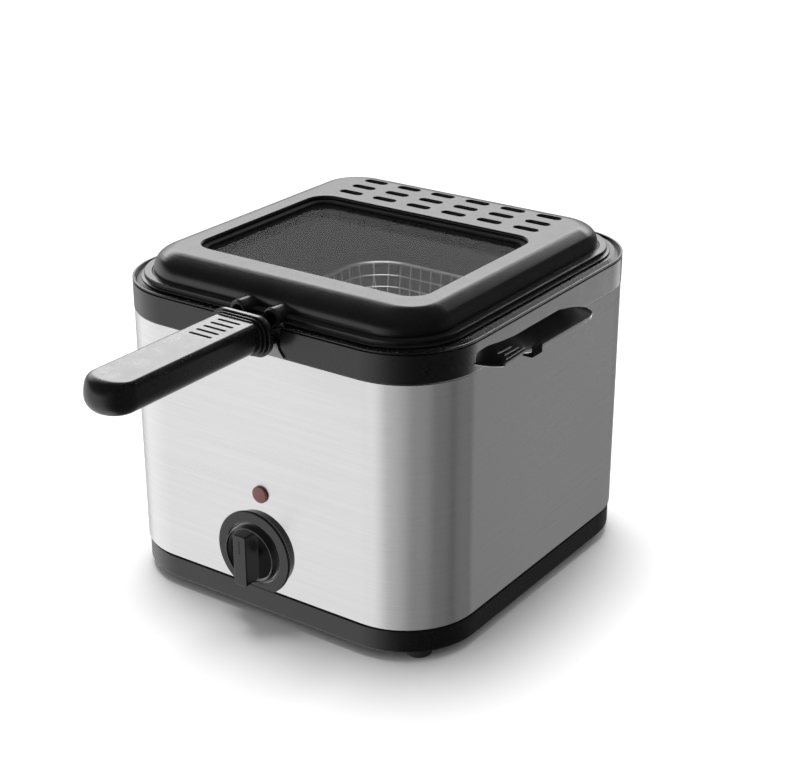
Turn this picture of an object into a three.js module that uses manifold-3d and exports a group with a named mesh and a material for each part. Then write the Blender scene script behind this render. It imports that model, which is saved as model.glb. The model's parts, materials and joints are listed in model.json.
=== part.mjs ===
// Deep fryer: a steel-cased tabletop fryer with a lift-out basket, a lift-off lid with a
// window, and a thermostat dial. Millimetres, +Z up; the dial and the handle face -Y.
// Inside each group the origin is the middle of the case, on the table.

import * as THREE from 'three';
import { mergeVertices } from 'three/addons/utils/BufferGeometryUtils.js';
import Module from 'manifold-3d';

const wasm = await Module();
wasm.setup();

// ---------------------------------------------------------------- driving dimensions

const GAP = 0.3; // kept between pieces that touch
const CORNER_STEPS = 6; // flats in each rounded corner

// Plans: rounded rectangles, centred on the case unless centreY says otherwise.
const CASE = { width: 214, depth: 224, radius: 42 };
const BASE = { width: 214, depth: 224, radius: 44 };
const COLLAR = { width: 216, depth: 226, radius: 43 };
const POT = { width: 180, depth: 190, radius: 25 };
const BASKET = { width: 137, depth: 166, radius: 28 };
const LID = { width: 188, depth: 200, radius: 30, centreY: -2 };
const WINDOW = { width: 147.4, depth: 114.5, radius: 12, centreY: -16.25 };

// Heights above the table.
const BASE_BOTTOM = 5;
const BASE_TOP = 18.8;
const COLLAR_BOTTOM = 158;
const COLLAR_TOP = 175;
const POT_FLOOR = 66;
const POT_SEAT = 162.7;
const NOTCH_FLOOR = 165.5;
const BASKET_FLOOR = 75;
const BASKET_RIM = 140;
const LID_TOP = 190;

const CASE_WALL = 0.8;
const CASE_FLANGE = 15;
const FRONT = -CASE.depth / 2; // outer face of the case's front wall
const WALL_BACK = FRONT + CASE_WALL;

const FEET = { x: 88, y: 92, radius: 7 };
const DIAL_HEIGHT = 44.2;
const DIAL_RADIUS = 24;
const DIAL_BOTTOM = 24.4; // the bezel is cut flat just above the base
const LAMP_HEIGHT = 76;
const GRIP_REACH = 115; // outer edge of the side grips, from the middle
const HANDLE_REACH = 228; // tip of the handle, from the middle
const GLAND_REACH = 116; // rear face of the cord gland, from the middle
const GLAND = { x: 50, z: 34 };

const HANDLE = { halfWidth: 14.5, bottom: 162.8, top: 180, edge: 6, start: -127 };
const TONGUE = { halfWidth: 8, bottom: 169, top: 171, end: -151 };
const VENT = { columns: 6, rows: 3, pitchX: 24.1, pitchY: 12.8, middleY: 66, length: 14.8, width: 4.5 };

// ---------------------------------------------------------------- finishes

const FINISHES = {
  blackPlastic: [0x141516, 0.42, 0],
  blackGloss: [0x0c0d0e, 0.25, 0],
  brushedSteel: [0xb9babc, 0.34, 1],
  plainSteel: [0x9a9c9f, 0.4, 1],
  wireSteel: [0xc4c6c9, 0.22, 1],
  castAluminium: [0xa7a9ab, 0.5, 1],
  potLining: [0x3a3b3c, 0.35, 0.6],
  rubber: [0x1b1b1c, 0.85, 0],
  silicone: [0x232325, 0.7, 0],
  lampRed: [0x7a1712, 0.25, 0],
  windowGlass: [0x6f7478, 0.05, 0],
  filterPad: [0x2c2e30, 0.95, 0],
  ceramic: [0xd9d4c7, 0.6, 0],
  nylon: [0xcfcac0, 0.55, 0],
  liveLead: [0x6b3a1d, 0.6, 0],
  neutralLead: [0x2350a0, 0.6, 0],
};

// ---------------------------------------------------------------- geometry helpers

// Turns the faces outwards where a geometry's order has them facing in.
function facingOut(geometry) {
  const bare = new THREE.BufferGeometry();
  bare.setAttribute('position', geometry.getAttribute('position').clone());
  if (geometry.index) {
    bare.setIndex(geometry.index.clone());
  }
  const merged = geometry.getAttribute('normal') ? mergeVertices(bare, 1e-4) : bare;
  const position = merged.getAttribute('position');
  const corners = [new THREE.Vector3(), new THREE.Vector3(), new THREE.Vector3()];
  const kept = [];
  let volume = 0;
  for (let i = 0; i < merged.index.count; i += 3) {
    const ids = [0, 1, 2].map((k) => merged.index.getX(i + k));
    if (new Set(ids).size < 3) {
      continue;
    }
    kept.push(ids);
    ids.forEach((id, k) => corners[k].fromBufferAttribute(position, id));
    volume += corners[0].dot(corners[1].cross(corners[2]));
  }
  merged.setIndex(kept.flatMap(([a, b, c]) => (volume < 0 ? [a, c, b] : [a, b, c])));
  return merged;
}

function toManifold(geometry) {
  const closed = facingOut(geometry);
  return new wasm.Manifold(new wasm.Mesh({
    numProp: 3,
    vertProperties: new Float32Array(closed.getAttribute('position').array),
    triVerts: new Uint32Array(closed.index.array),
  }));
}

function fromManifold(body) {
  const mesh = body.getMesh();
  const geometry = new THREE.BufferGeometry();
  geometry.setAttribute('position', new THREE.BufferAttribute(mesh.vertProperties, 3));
  geometry.setIndex(new THREE.BufferAttribute(mesh.triVerts, 1));
  return geometry;
}

function cut(geometry, tools) {
  const body = tools.reduce((rest, tool) => rest.subtract(toManifold(tool)), toManifold(geometry));
  return fromManifold(body);
}

function join(geometries) {
  const [first, ...others] = geometries.map(toManifold);
  return fromManifold(others.reduce((sum, other) => sum.add(other), first));
}

function common(one, other) {
  return fromManifold(toManifold(one).intersect(toManifold(other)));
}

// One ring of points round a plan that is grown by `offset`, counter-clockwise from above.
function planRing(plan, offset, z, cornerSteps = CORNER_STEPS) {
  const radius = plan.radius + offset;
  const points = [];
  for (let corner = 0; corner < 4; corner += 1) {
    const signX = corner === 0 || corner === 3 ? 1 : -1;
    const signY = corner < 2 ? 1 : -1;
    const x = signX * (plan.width / 2 - plan.radius);
    const y = signY * (plan.depth / 2 - plan.radius) + (plan.centreY ?? 0);
    for (let step = 0; step <= cornerSteps; step += 1) {
      const angle = (corner + step / cornerSteps) * Math.PI / 2;
      points.push([x + radius * Math.cos(angle), y + radius * Math.sin(angle), z]);
    }
  }
  return points;
}

// Sweeps a profile of [offset, z] points round a plan, the way a lathe sweeps one round a
// circle. The profile either joins its own start, as a ring, or is capped at both ends.
// It runs up the outside of the piece and inwards over the top.
function sweepRound(plan, profile, isRing = false) {
  const rings = profile.map(([offset, z]) => planRing(plan, offset, z));
  const count = rings[0].length;
  const index = [];
  const spans = isRing ? rings.length : rings.length - 1;
  for (let ring = 0; ring < spans; ring += 1) {
    const low = ring * count;
    const high = ((ring + 1) % rings.length) * count;
    for (let i = 0; i < count; i += 1) {
      const next = (i + 1) % count;
      index.push(low + i, low + next, high + next, low + i, high + next, high + i);
    }
  }
  if (!isRing) {
    const last = (rings.length - 1) * count;
    for (let i = 1; i < count - 1; i += 1) {
      index.push(0, i + 1, i, last, last + i, last + i + 1);
    }
  }
  const geometry = new THREE.BufferGeometry();
  geometry.setAttribute('position', new THREE.Float32BufferAttribute(rings.flat(2), 3));
  geometry.setIndex(index);
  return geometry;
}

function block(x0, x1, y0, y1, z0, z1) {
  const geometry = new THREE.BoxGeometry(x1 - x0, y1 - y0, z1 - z0);
  return geometry.translate((x0 + x1) / 2, (y0 + y1) / 2, (z0 + z1) / 2);
}

function uprightRod(radius, z0, z1, x = 0, y = 0, sides = 16) {
  const geometry = new THREE.CylinderGeometry(radius, radius, z1 - z0, sides);
  return geometry.rotateX(Math.PI / 2).translate(x, y, (z0 + z1) / 2);
}

function levelRod(radius, y0, y1, x = 0, z = 0, sides = 16) {
  const geometry = new THREE.CylinderGeometry(radius, radius, y1 - y0, sides);
  return geometry.translate(x, (y0 + y1) / 2, z);
}

function polygon(points) {
  return new THREE.Shape(points.map(([x, y]) => new THREE.Vector2(x, y)));
}

function roundedOutline(plan) {
  return polygon(planRing(plan, 0, 0));
}

function prism(shape, z0, z1) {
  const settings = { depth: z1 - z0, bevelEnabled: false, curveSegments: 4 };
  return new THREE.ExtrudeGeometry(shape, settings).translate(0, 0, z0);
}

// Extrudes a [y, z] outline along X.
function extrudeAcross(points, x0, x1) {
  const turn = new THREE.Matrix4().makeBasis(
    new THREE.Vector3(0, 1, 0),
    new THREE.Vector3(0, 0, 1),
    new THREE.Vector3(1, 0, 0),
  );
  return prism(polygon(points), x0, x1).applyMatrix4(turn);
}

// Extrudes an [x, z] outline along Y.
function extrudeLengthwise(points, y0, y1) {
  const turn = new THREE.Matrix4().makeBasis(
    new THREE.Vector3(1, 0, 0),
    new THREE.Vector3(0, 0, 1),
    new THREE.Vector3(0, -1, 0),
  );
  return prism(polygon(points), -y1, -y0).applyMatrix4(turn);
}

// A slot with round ends, its length along X.
function slotCutter(x, y, length, width, z0, z1) {
  const plan = { width: length, depth: width, radius: width / 2 - 0.01, centreY: y };
  return prism(polygon(planRing(plan, 0, 0, 2)), z0, z1).translate(x, 0, 0);
}

function turned(profile, sides) {
  return new THREE.LatheGeometry(profile.map(([r, y]) => new THREE.Vector2(r, y)), sides);
}

function regularOutline(radius, sides) {
  const corners = Array.from({ length: sides }, (_, i) => (i / sides) * 2 * Math.PI);
  return polygon(corners.map((angle) => [radius * Math.cos(angle), radius * Math.sin(angle)]));
}

function bentRod(points, radius, sides, steps) {
  const path = new THREE.CatmullRomCurve3(points.map((p) => new THREE.Vector3(...p)));
  const settings = { steps, extrudePath: path, bevelEnabled: false };
  return new THREE.ExtrudeGeometry(regularOutline(radius, sides), settings);
}

function screwGeometry(headRadius, headHeight, shankRadius, length) {
  return turned([
    [0, 0],
    [headRadius, 0],
    [headRadius, headHeight],
    [shankRadius, headHeight],
    [shankRadius, length],
    [0, length],
  ], 8);
}

function addPiece(group, name, geometry, finish) {
  const [color, roughness, metalness] = FINISHES[finish];
  const material = new THREE.MeshStandardMaterial({ color, roughness, metalness });
  const mesh = new THREE.Mesh(facingOut(geometry), material);
  mesh.name = name;
  group.add(mesh);
  return mesh;
}

// ---------------------------------------------------------------- housing

function baseTray() {
  const floor = 2.5;
  const wall = 2.5;
  const tray = sweepRound(BASE, [
    [-2, BASE_BOTTOM],
    [0, BASE_BOTTOM + 2],
    [0, BASE_TOP],
    [-wall, BASE_TOP],
    [-wall, BASE_BOTTOM + floor],
  ]);
  const bosses = footPlaces().map(([x, y]) => uprightRod(4.5, BASE_BOTTOM + 1, BASE_TOP, x, y));
  const holes = footPlaces().map(([x, y]) => uprightRod(1.9, 0, 30, x, y, 12));
  const airSlots = [];
  for (let row = -2; row <= 2; row += 1) {
    for (const side of [-1, 1]) {
      airSlots.push(slotCutter(side * 32, row * 18, 46, 6, 0, 12));
    }
  }
  return cut(join([tray, ...bosses]), [...holes, ...airSlots]);
}

function footPlaces() {
  return [[-1, -1], [1, -1], [1, 1], [-1, 1]].map(([x, y]) => [x * FEET.x, y * FEET.y]);
}

// A ring with a sunk seat for its screw's head.
function footGeometry() {
  const top = BASE_BOTTOM - GAP;
  return turned([
    [3.9, 0],
    [FEET.radius - 0.6, 0],
    [FEET.radius, 0.8],
    [FEET.radius, top],
    [1.9, top],
    [1.9, 2.6],
    [3.9, 2.6],
    [3.9, 0],
  ], 16).rotateX(Math.PI / 2);
}

function steelCase() {
  const bottom = BASE_TOP + GAP;
  const top = COLLAR_BOTTOM - GAP;
  const shell = sweepRound(CASE, [
    [0, bottom],
    [0, top],
    [-CASE_WALL, top],
    [-CASE_WALL, bottom + CASE_WALL],
    [-CASE_FLANGE, bottom + CASE_WALL],
    [-CASE_FLANGE, bottom],
  ], true);
  const screwHoles = footPlaces().map(([x, y]) => uprightRod(1.9, 0, 30, x, y, 12));
  const fronts = [
    [5, 0, DIAL_HEIGHT],
    [4, 0, LAMP_HEIGHT],
    [2, -14, DIAL_HEIGHT],
    [2, 14, DIAL_HEIGHT],
    [2.1, 0, DIAL_HEIGHT + 16.6],
    [2.1, 0, DIAL_HEIGHT - 16.6],
  ].map(([radius, x, z]) => levelRod(radius, FRONT - 2, FRONT + 3, x, z, 12));
  const glandHole = levelRod(6.8, -FRONT - 3, -FRONT + 2, GLAND.x, GLAND.z);
  return cut(shell, [...screwHoles, ...fronts, glandHole]);
}

// One length of a side grip: an upright outer face and a top that sweeps up the collar's wall.
function gripLength(faceBottom, faceTop, outline) {
  const inner = COLLAR.width / 2 - 0.5;
  const section = [
    [inner, faceBottom + 0.3],
    [GRIP_REACH - 0.5, faceBottom],
    [GRIP_REACH, faceBottom + 0.4],
    [GRIP_REACH, faceTop],
    [GRIP_REACH - 2.6, faceTop + 0.6],
    [GRIP_REACH - 4.8, faceTop + 2.8],
    [GRIP_REACH - 6.4, faceTop + 6],
    [inner, faceTop + 7],
  ];
  return common(extrudeLengthwise(section, -80, 60), prism(polygon(outline), 140, 180));
}

// The wing that a hand lifts the fryer by, with a higher front part and a post under the step.
function sideGrip(side) {
  const inner = COLLAR.width / 2 - 1;
  const front = gripLength(COLLAR_BOTTOM - 0.6, COLLAR_BOTTOM + 1.7, [
    [inner, -72],
    [inner + 1.5, -71],
    [GRIP_REACH + 0.01, -57],
    [GRIP_REACH + 0.01, -34],
    [inner, -34],
  ]);
  const back = gripLength(COLLAR_BOTTOM - 3.6, COLLAR_BOTTOM - 0.5, [
    [inner, -34.5],
    [GRIP_REACH + 0.01, -34.5],
    [GRIP_REACH + 0.01, 32],
    [GRIP_REACH - 1.6, 36.5],
    [GRIP_REACH - 4, 39],
    [inner, 40.5],
  ]);
  const post = block(inner + 1, inner + 7, -33, -22.5, COLLAR_BOTTOM - 5, COLLAR_BOTTOM);
  const grip = join([front, back, post]);
  return side > 0 ? grip : grip.scale(-1, 1, 1);
}

function collar() {
  const ring = sweepRound(COLLAR, [
    [0, COLLAR_BOTTOM],
    [0, COLLAR_TOP - 2.2],
    [-0.7, COLLAR_TOP - 0.7],
    [-2.2, COLLAR_TOP],
    [-13, COLLAR_TOP],
    [-13, POT_SEAT],
    [-17, POT_SEAT],
    [-17, POT_SEAT - 3],
    [-4.6, POT_SEAT - 3],
    [-4.6, COLLAR_BOTTOM - 8],
    [-2.2, COLLAR_BOTTOM - 8],
    [-2.2, COLLAR_BOTTOM],
  ], true);
  const notch = block(-19.6, 19.6, -COLLAR.depth / 2 - 2, -COLLAR.depth / 2 + 19, NOTCH_FLOOR, 190);
  return cut(join([ring, sideGrip(1), sideGrip(-1)]), [notch]);
}

function potSeal() {
  const bottom = POT_SEAT + GAP;
  return sweepRound(COLLAR, [
    [-13.4, bottom],
    [-13.4, bottom + 1],
    [-16.8, bottom + 1],
    [-16.8, bottom],
  ], true);
}

function innerPot() {
  const flange = POT_SEAT + 1.6;
  return sweepRound(POT, [
    [-10, POT_FLOOR],
    [-4.5, POT_FLOOR + 2],
    [-2, POT_FLOOR + 7],
    [0, flange - 6],
    [0, flange],
    [4.5, flange],
    [4.5, flange + 1],
    [0.6, flange + 1],
    [-1, flange - 1],
    [-3, POT_FLOOR + 7.4],
    [-5.2, POT_FLOOR + 3],
    [-10.2, POT_FLOOR + 1.2],
  ]);
}

const SPREADER_BOTTOM = POT_FLOOR - 4.3;
const STUDS = [[-30, 20], [30, 20]];
const ELEMENT = { ring: 50, radius: 4, z: SPREADER_BOTTOM - GAP - 4, halfGap: Math.PI / 6 };
const SHIELD_FLOOR = 44;

function elementEnd(side) {
  return [side * ELEMENT.ring * Math.sin(ELEMENT.halfGap), -ELEMENT.ring * Math.cos(ELEMENT.halfGap)];
}

function heatSpreader() {
  const plate = uprightRod(62, SPREADER_BOTTOM, POT_FLOOR - GAP, 0, 0, 32);
  return cut(plate, STUDS.map(([x, y]) => uprightRod(2.4, 50, 80, x, y, 10)));
}

// An open ring whose gap faces the front.
function heatingElement() {
  const points = [];
  const turns = 12;
  for (let i = 0; i <= turns; i += 1) {
    const start = -Math.PI / 2 + ELEMENT.halfGap;
    const angle = start + (i / turns) * 2 * (Math.PI - ELEMENT.halfGap);
    points.push([ELEMENT.ring * Math.cos(angle), ELEMENT.ring * Math.sin(angle), ELEMENT.z]);
  }
  return bentRod(points, ELEMENT.radius, 8, 30);
}

function heatShield() {
  const dish = turned([
    [0, SHIELD_FLOOR],
    [64, SHIELD_FLOOR],
    [68, SHIELD_FLOOR + 4],
    [68, SHIELD_FLOOR + 14],
    [67.2, SHIELD_FLOOR + 14],
    [67.2, SHIELD_FLOOR + 4.4],
    [63.6, SHIELD_FLOOR + 0.8],
    [0, SHIELD_FLOOR + 0.8],
  ], 32).rotateX(Math.PI / 2);
  const holes = [
    ...STUDS.map(([x, y]) => uprightRod(2.4, 30, 60, x, y, 10)),
    ...[-1, 1].map((side) => uprightRod(6, 30, 50, ...elementEnd(side), 12)),
  ];
  return cut(dish, holes);
}

function thermostatBody() {
  const body = block(-20, 20, WALL_BACK + GAP, -88, DIAL_HEIGHT - 14, DIAL_HEIGHT + 14);
  const holes = [
    levelRod(3.3, FRONT, -100, 0, DIAL_HEIGHT, 12),
    levelRod(2, FRONT, -103, -14, DIAL_HEIGHT, 10),
    levelRod(2, FRONT, -103, 14, DIAL_HEIGHT, 10),
  ];
  return cut(body, holes);
}

const BULB = { y: -74, z: 62.4, radius: 3, halfLength: 30 };

function bulbClip() {
  const top = POT_FLOOR - GAP;
  const arm = (side) => [
    [BULB.y + side * 7, top],
    [BULB.y + side * 7, top - 0.8],
    [BULB.y + side * 4.2, top - 0.8],
    [BULB.y + side * 4.2, BULB.z - 4.1],
  ];
  const inside = (side) => [
    [BULB.y + side * 3.4, BULB.z - 3.3],
    [BULB.y + side * 3.4, top],
  ];
  const outline = [...arm(-1), ...arm(1).reverse(), ...inside(1).reverse(), ...inside(-1)];
  return extrudeAcross(outline, -5, 5);
}

function dialBezel() {
  const disc = turned([
    [DIAL_RADIUS, 0.3],
    [DIAL_RADIUS, 6.5],
    [DIAL_RADIUS - 1.5, 8],
    [17.6, 8],
    [17.6, 5.4],
    [6, 5.4],
    [6, 0.3],
    [8, 0.3],
    [8, 3.4],
    [19, 3.4],
    [19, 0.3],
    [DIAL_RADIUS, 0.3],
  ], 32).scale(1, -1, 1).translate(0, FRONT, DIAL_HEIGHT);
  const pegs = [-16.6, 16.6].map((z) => levelRod(1.8, FRONT - 4, FRONT + 5, 0, DIAL_HEIGHT + z, 10));
  const flat = block(-40, 40, FRONT - 20, FRONT + 10, 0, DIAL_BOTTOM);
  return cut(join([disc, ...pegs]), [flat]);
}

function lampLens() {
  return turned([
    [0, -6],
    [3.6, -6],
    [3.6, 0.3],
    [5, 0.3],
    [5, 1.1],
    [4.2, 1.6],
    [2.4, 1.9],
    [0, 2],
  ], 20).scale(1, -1, 1).translate(0, FRONT, LAMP_HEIGHT);
}

function lampBody() {
  const front = WALL_BACK + GAP;
  const body = levelRod(5, front, -99, 0, LAMP_HEIGHT, 14);
  return cut(body, [levelRod(3.95, front - 1, front + 6, 0, LAMP_HEIGHT, 14)]);
}

function cordGland() {
  const wall = -FRONT;
  return turned([
    [3.5, wall - 5],
    [9, wall - 5],
    [9, wall - CASE_WALL - GAP],
    [6.4, wall - CASE_WALL - GAP],
    [6.4, wall + GAP],
    [9, wall + GAP],
    [9, GLAND_REACH - 1.5],
    [6, GLAND_REACH],
    [3.5, GLAND_REACH],
    [3.5, wall - 5],
  ], 20).translate(GLAND.x, 0, GLAND.z);
}

function terminalBlock() {
  const bottom = BASE_BOTTOM + 2.5 + GAP;
  const body = block(-12, 12, 56, 70, bottom, bottom + 12);
  return cut(body, [-7, 0, 7].map((x) => levelRod(1.8, 50, 80, x, 14, 8)));
}

const LEADS = [
  ['live_lead', 'liveLead', [[-7, 55.5, 14], [-8, 44, 15], [-8, 0, 18], [6, -50, 26], [8, -78, 37], [8, -87.5, 38]]],
  ['neutral_lead', 'neutralLead', [[7, 55.5, 14], [10, 46, 15], [20, 20, 26], [25, -20, 30], [25.5, -38, 33],
    [25, -43.3, 40]]],
  ['switched_lead', 'liveLead', [[-10, -87.5, 38], [-12, -78, 36], [-20, -60, 30], [-25, -47, 32],
    [-25, -43.3, 40]]],
];

function buildHousing() {
  const housing = new THREE.Group();
  addPiece(housing, 'base_tray', baseTray(), 'blackPlastic');
  const footScrew = screwGeometry(3.4, 1.8, 1.6, 22.4).rotateX(Math.PI / 2);
  footPlaces().forEach(([x, y], i) => {
    addPiece(housing, `foot_${i + 1}`, footGeometry(), 'rubber').position.set(x, y, 0);
    addPiece(housing, `foot_screw_${i + 1}`, footScrew, 'plainSteel').position.set(x, y, 0.5);
  });
  addPiece(housing, 'steel_case', steelCase(), 'brushedSteel');
  addPiece(housing, 'collar', collar(), 'blackPlastic');
  addPiece(housing, 'pot_seal', potSeal(), 'silicone');
  addPiece(housing, 'inner_pot', innerPot(), 'potLining');
  addPiece(housing, 'heat_spreader', heatSpreader(), 'castAluminium');
  addPiece(housing, 'heating_element', heatingElement(), 'plainSteel');
  addPiece(housing, 'heat_shield', heatShield(), 'plainSteel');
  addPiece(housing, 'thermal_cutout', uprightRod(8, 53.4, SPREADER_BOTTOM - GAP), 'ceramic');
  [-1, 1].forEach((side, i) => {
    const [x, y] = elementEnd(side);
    const blade = block(-3.15, 3.15, -0.4, 0.4, 40.5, ELEMENT.z - ELEMENT.radius - GAP);
    addPiece(housing, `element_terminal_${i + 1}`, blade, 'plainSteel').position.set(x, y, 0);
  });
  STUDS.forEach(([x, y], i) => {
    const nut = cut(uprightRod(4, 41, SHIELD_FLOOR - GAP, 0, 0, 6), [uprightRod(2.3, 30, 60, 0, 0, 10)]);
    const stud = uprightRod(2, 39, POT_FLOOR - GAP, 0, 0, 10);
    addPiece(housing, `pot_stud_${i + 1}`, stud, 'plainSteel').position.set(x, y, 0);
    addPiece(housing, `stud_nut_${i + 1}`, nut, 'plainSteel').position.set(x, y, 0);
  });
  addPiece(housing, 'thermostat_body', thermostatBody(), 'ceramic');
  [-14, 14].forEach((x, i) => {
    const screw = screwGeometry(3.6, 1.8, 1.7, 9).translate(x, FRONT - GAP - 1.8, DIAL_HEIGHT);
    addPiece(housing, `thermostat_screw_${i + 1}`, screw, 'plainSteel');
  });
  const bulb = levelRod(BULB.radius, -BULB.halfLength, BULB.halfLength, 0, 0, 12).rotateZ(Math.PI / 2);
  addPiece(housing, 'thermostat_bulb', bulb, 'plainSteel').position.set(0, BULB.y, BULB.z);
  addPiece(housing, 'bulb_clip', bulbClip(), 'plainSteel');
  const capillary = [[14, -87.5, 50], [15, -84, 52], [26, -82, 58], [34, -78, 62], [30.6, -74, 62.4]];
  addPiece(housing, 'capillary_tube', bentRod(capillary, 0.9, 6, 14), 'plainSteel');
  addPiece(housing, 'dial_bezel', dialBezel(), 'blackPlastic');
  addPiece(housing, 'lamp_lens', lampLens(), 'lampRed');
  addPiece(housing, 'lamp_body', lampBody(), 'nylon');
  addPiece(housing, 'cord_gland', cordGland(), 'rubber');
  addPiece(housing, 'terminal_block', terminalBlock(), 'nylon');
  for (const [name, finish, points] of LEADS) {
    addPiece(housing, name, bentRod(points, 1.3, 6, 16), finish);
  }
  return housing;
}

// ---------------------------------------------------------------- control knob

// The knob's origin is on the dial's axis, at the case's front face; it points along -Y.
function controlKnob() {
  const skirt = turned([
    [0, 5.8],
    [16.9, 5.8],
    [16.9, 8.4],
    [16, 11],
    [14.5, 11.8],
    [0, 11.8],
  ], 36).scale(1, -1, 1);
  const finOutline = planRing({ width: 8, depth: 30, radius: 3.9 }, 0, 0).map(([x, z]) => [x, z]);
  const fin = extrudeLengthwise(finOutline, -19, -11);
  return cut(join([skirt, fin]), [levelRod(3.3, -15, 0, 0, 0, 12)]);
}

function thermostatShaft() {
  const tip = -14.6;
  const rod = levelRod(3, tip, 11.5, 0, 0, 12);
  return cut(rod, [block(-4, 4, tip - 1, -7, 1.6, 4)]);
}

function buildControl() {
  const control = new THREE.Group();
  addPiece(control, 'control_knob', controlKnob(), 'blackGloss');
  addPiece(control, 'thermostat_shaft', thermostatShaft(), 'plainSteel');
  control.position.set(0, FRONT, DIAL_HEIGHT);
  return control;
}

// ---------------------------------------------------------------- basket

// The woven mesh, as a thin-walled tub of the same outer shape.
function basketMesh() {
  const top = BASKET_RIM - 2;
  return sweepRound(BASKET, [
    [-14, BASKET_FLOOR],
    [-9, BASKET_FLOOR + 1.5],
    [-6.5, BASKET_FLOOR + 6],
    [-0.6, top],
    [-1.8, top],
    [-7.7, BASKET_FLOOR + 6.4],
    [-9.8, BASKET_FLOOR + 2.6],
    [-14.2, BASKET_FLOOR + 1.2],
  ]);
}

function basketRim() {
  const radius = 1.6;
  const profile = [];
  for (let i = 0; i < 8; i += 1) {
    const angle = (i / 8) * 2 * Math.PI;
    profile.push([radius * Math.cos(angle), BASKET_RIM + radius * Math.sin(angle)]);
  }
  return sweepRound(BASKET, profile, true);
}

// A steel strip: up the basket's front, over the pot's flange, down in front of the collar,
// with a tongue that runs on into the handle.
function basketHook() {
  const back = -BASKET.depth / 2 - 2;
  const front = -COLLAR.depth / 2 - 0.4;
  const over = NOTCH_FLOOR + GAP;
  const strip = extrudeAcross([
    [back, BASKET_FLOOR + 40],
    [back, over + 2],
    [front, over + 2],
    [front, over],
    [back - 2, over],
    [back - 2, BASKET_FLOOR + 40],
  ], -15, 15);
  const plate = extrudeLengthwise([
    [-20, COLLAR_BOTTOM],
    [20, COLLAR_BOTTOM],
    [15, NOTCH_FLOOR + 1.5],
    [15, TONGUE.top],
    [-15, TONGUE.top],
    [-15, NOTCH_FLOOR + 1.5],
  ], front - 2, front);
  const tongue = block(-TONGUE.halfWidth, TONGUE.halfWidth, TONGUE.end, front - 1, TONGUE.bottom, TONGUE.top);
  const overlap = block(-15, 15, front - 0.5, front + 0.5, over, over + 2);
  const holes = handleScrewPlaces().map((y) => uprightRod(1.8, 160, 180, 0, y, 10));
  return cut(join([strip, overlap, plate, tongue]), holes);
}

function handleScrewPlaces() {
  return [-137, -146];
}

function tonguePocket() {
  const half = TONGUE.halfWidth + 0.4;
  return block(-half, half, TONGUE.end - 0.5, -100, TONGUE.bottom - 0.4, TONGUE.top + 0.4);
}

// Stepped plates between the hook and the grip, widest in the middle.
function handleFlange() {
  const middle = (HANDLE.bottom + HANDLE.top) / 2;
  const plates = [
    [13, 15.5, 6, -120.8, -115.8],
    [19.2, 21.7, 9, -123.5, -120.6],
    [15.8, 18.6, 7, HANDLE.start + GAP, -123.3],
  ].map(([halfWidth, height, radius, y0, y1]) => {
    const outline = planRing({ width: halfWidth * 2, depth: height, radius }, 0, 0);
    return extrudeLengthwise(outline, y0, y1).translate(0, 0, middle);
  });
  return cut(join(plates), [tonguePocket()]);
}

function handleGrip() {
  const { halfWidth, bottom, top, edge, start } = HANDLE;
  const half = halfWidth - edge;
  const tipCentre = -HANDLE_REACH + halfWidth;
  const outline = new THREE.Shape();
  outline.moveTo(half, start - edge);
  outline.lineTo(-half, start - edge);
  outline.lineTo(-half, tipCentre);
  outline.absarc(0, tipCentre, half, Math.PI, 2 * Math.PI, false);
  const body = new THREE.ExtrudeGeometry(outline, {
    depth: top - bottom - 2 * edge,
    bevelEnabled: true,
    bevelSize: edge,
    bevelThickness: edge,
    bevelSegments: 3,
    curveSegments: 6,
  }).translate(0, 0, bottom + edge);
  const grooves = [];
  for (let i = 0; i < 5; i += 1) {
    const y = -131.5 - 5.4 * i;
    grooves.push(block(-7, 7, y - 1.1, y + 1.1, top - 1.4, top + 2));
  }
  const holes = handleScrewPlaces().flatMap((y) => [
    uprightRod(3.7, bottom - 2, bottom + 2.8, 0, y, 12),
    uprightRod(1.8, bottom, bottom + 12.5, 0, y, 10),
  ]);
  return cut(body, [...grooves, ...holes, tonguePocket()]);
}

function buildBasket() {
  const basket = new THREE.Group();
  addPiece(basket, 'basket_mesh', basketMesh(), 'wireSteel');
  addPiece(basket, 'basket_rim', basketRim(), 'wireSteel');
  addPiece(basket, 'basket_hook', basketHook(), 'plainSteel');
  addPiece(basket, 'handle_flange', handleFlange(), 'blackPlastic');
  addPiece(basket, 'handle_grip', handleGrip(), 'blackPlastic');
  const screw = screwGeometry(3.3, 2, 1.5, 11.5).rotateX(Math.PI / 2);
  handleScrewPlaces().forEach((y, i) => {
    addPiece(basket, `handle_screw_${i + 1}`, screw, 'plainSteel').position.set(0, y, HANDLE.bottom + 0.5);
  });
  return basket;
}

// ---------------------------------------------------------------- lid

const LID_UNDERSIDE = LID_TOP - 2.2;
const GLASS = { top: LID_TOP - 4.2, thickness: 3, margin: 3.5 };
const FRAME = { top: GLASS.top - GLASS.thickness - GAP, thickness: 4, screwX: 82, screwY: 50 };
const FRAME_PLAN = { width: 172, depth: 124, radius: 16, centreY: WINDOW.centreY };
const FILTER = { halfWidth: 64, y0: 49, y1: 83, screwX: 72, coverFloor: 181 };
const LID_BOSS = { x: 10.7, z: 177.5, radius: 5.7, bore: 3.3, front: -112 };

function ventSlots() {
  const slots = [];
  for (let row = 0; row < VENT.rows; row += 1) {
    for (let column = 0; column < VENT.columns; column += 1) {
      const x = (column - (VENT.columns - 1) / 2) * VENT.pitchX;
      const y = VENT.middleY + (row - (VENT.rows - 1) / 2) * VENT.pitchY;
      slots.push(slotCutter(x, y, VENT.length, VENT.width, LID_UNDERSIDE - 1, LID_TOP + 1));
    }
  }
  return slots;
}

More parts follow.
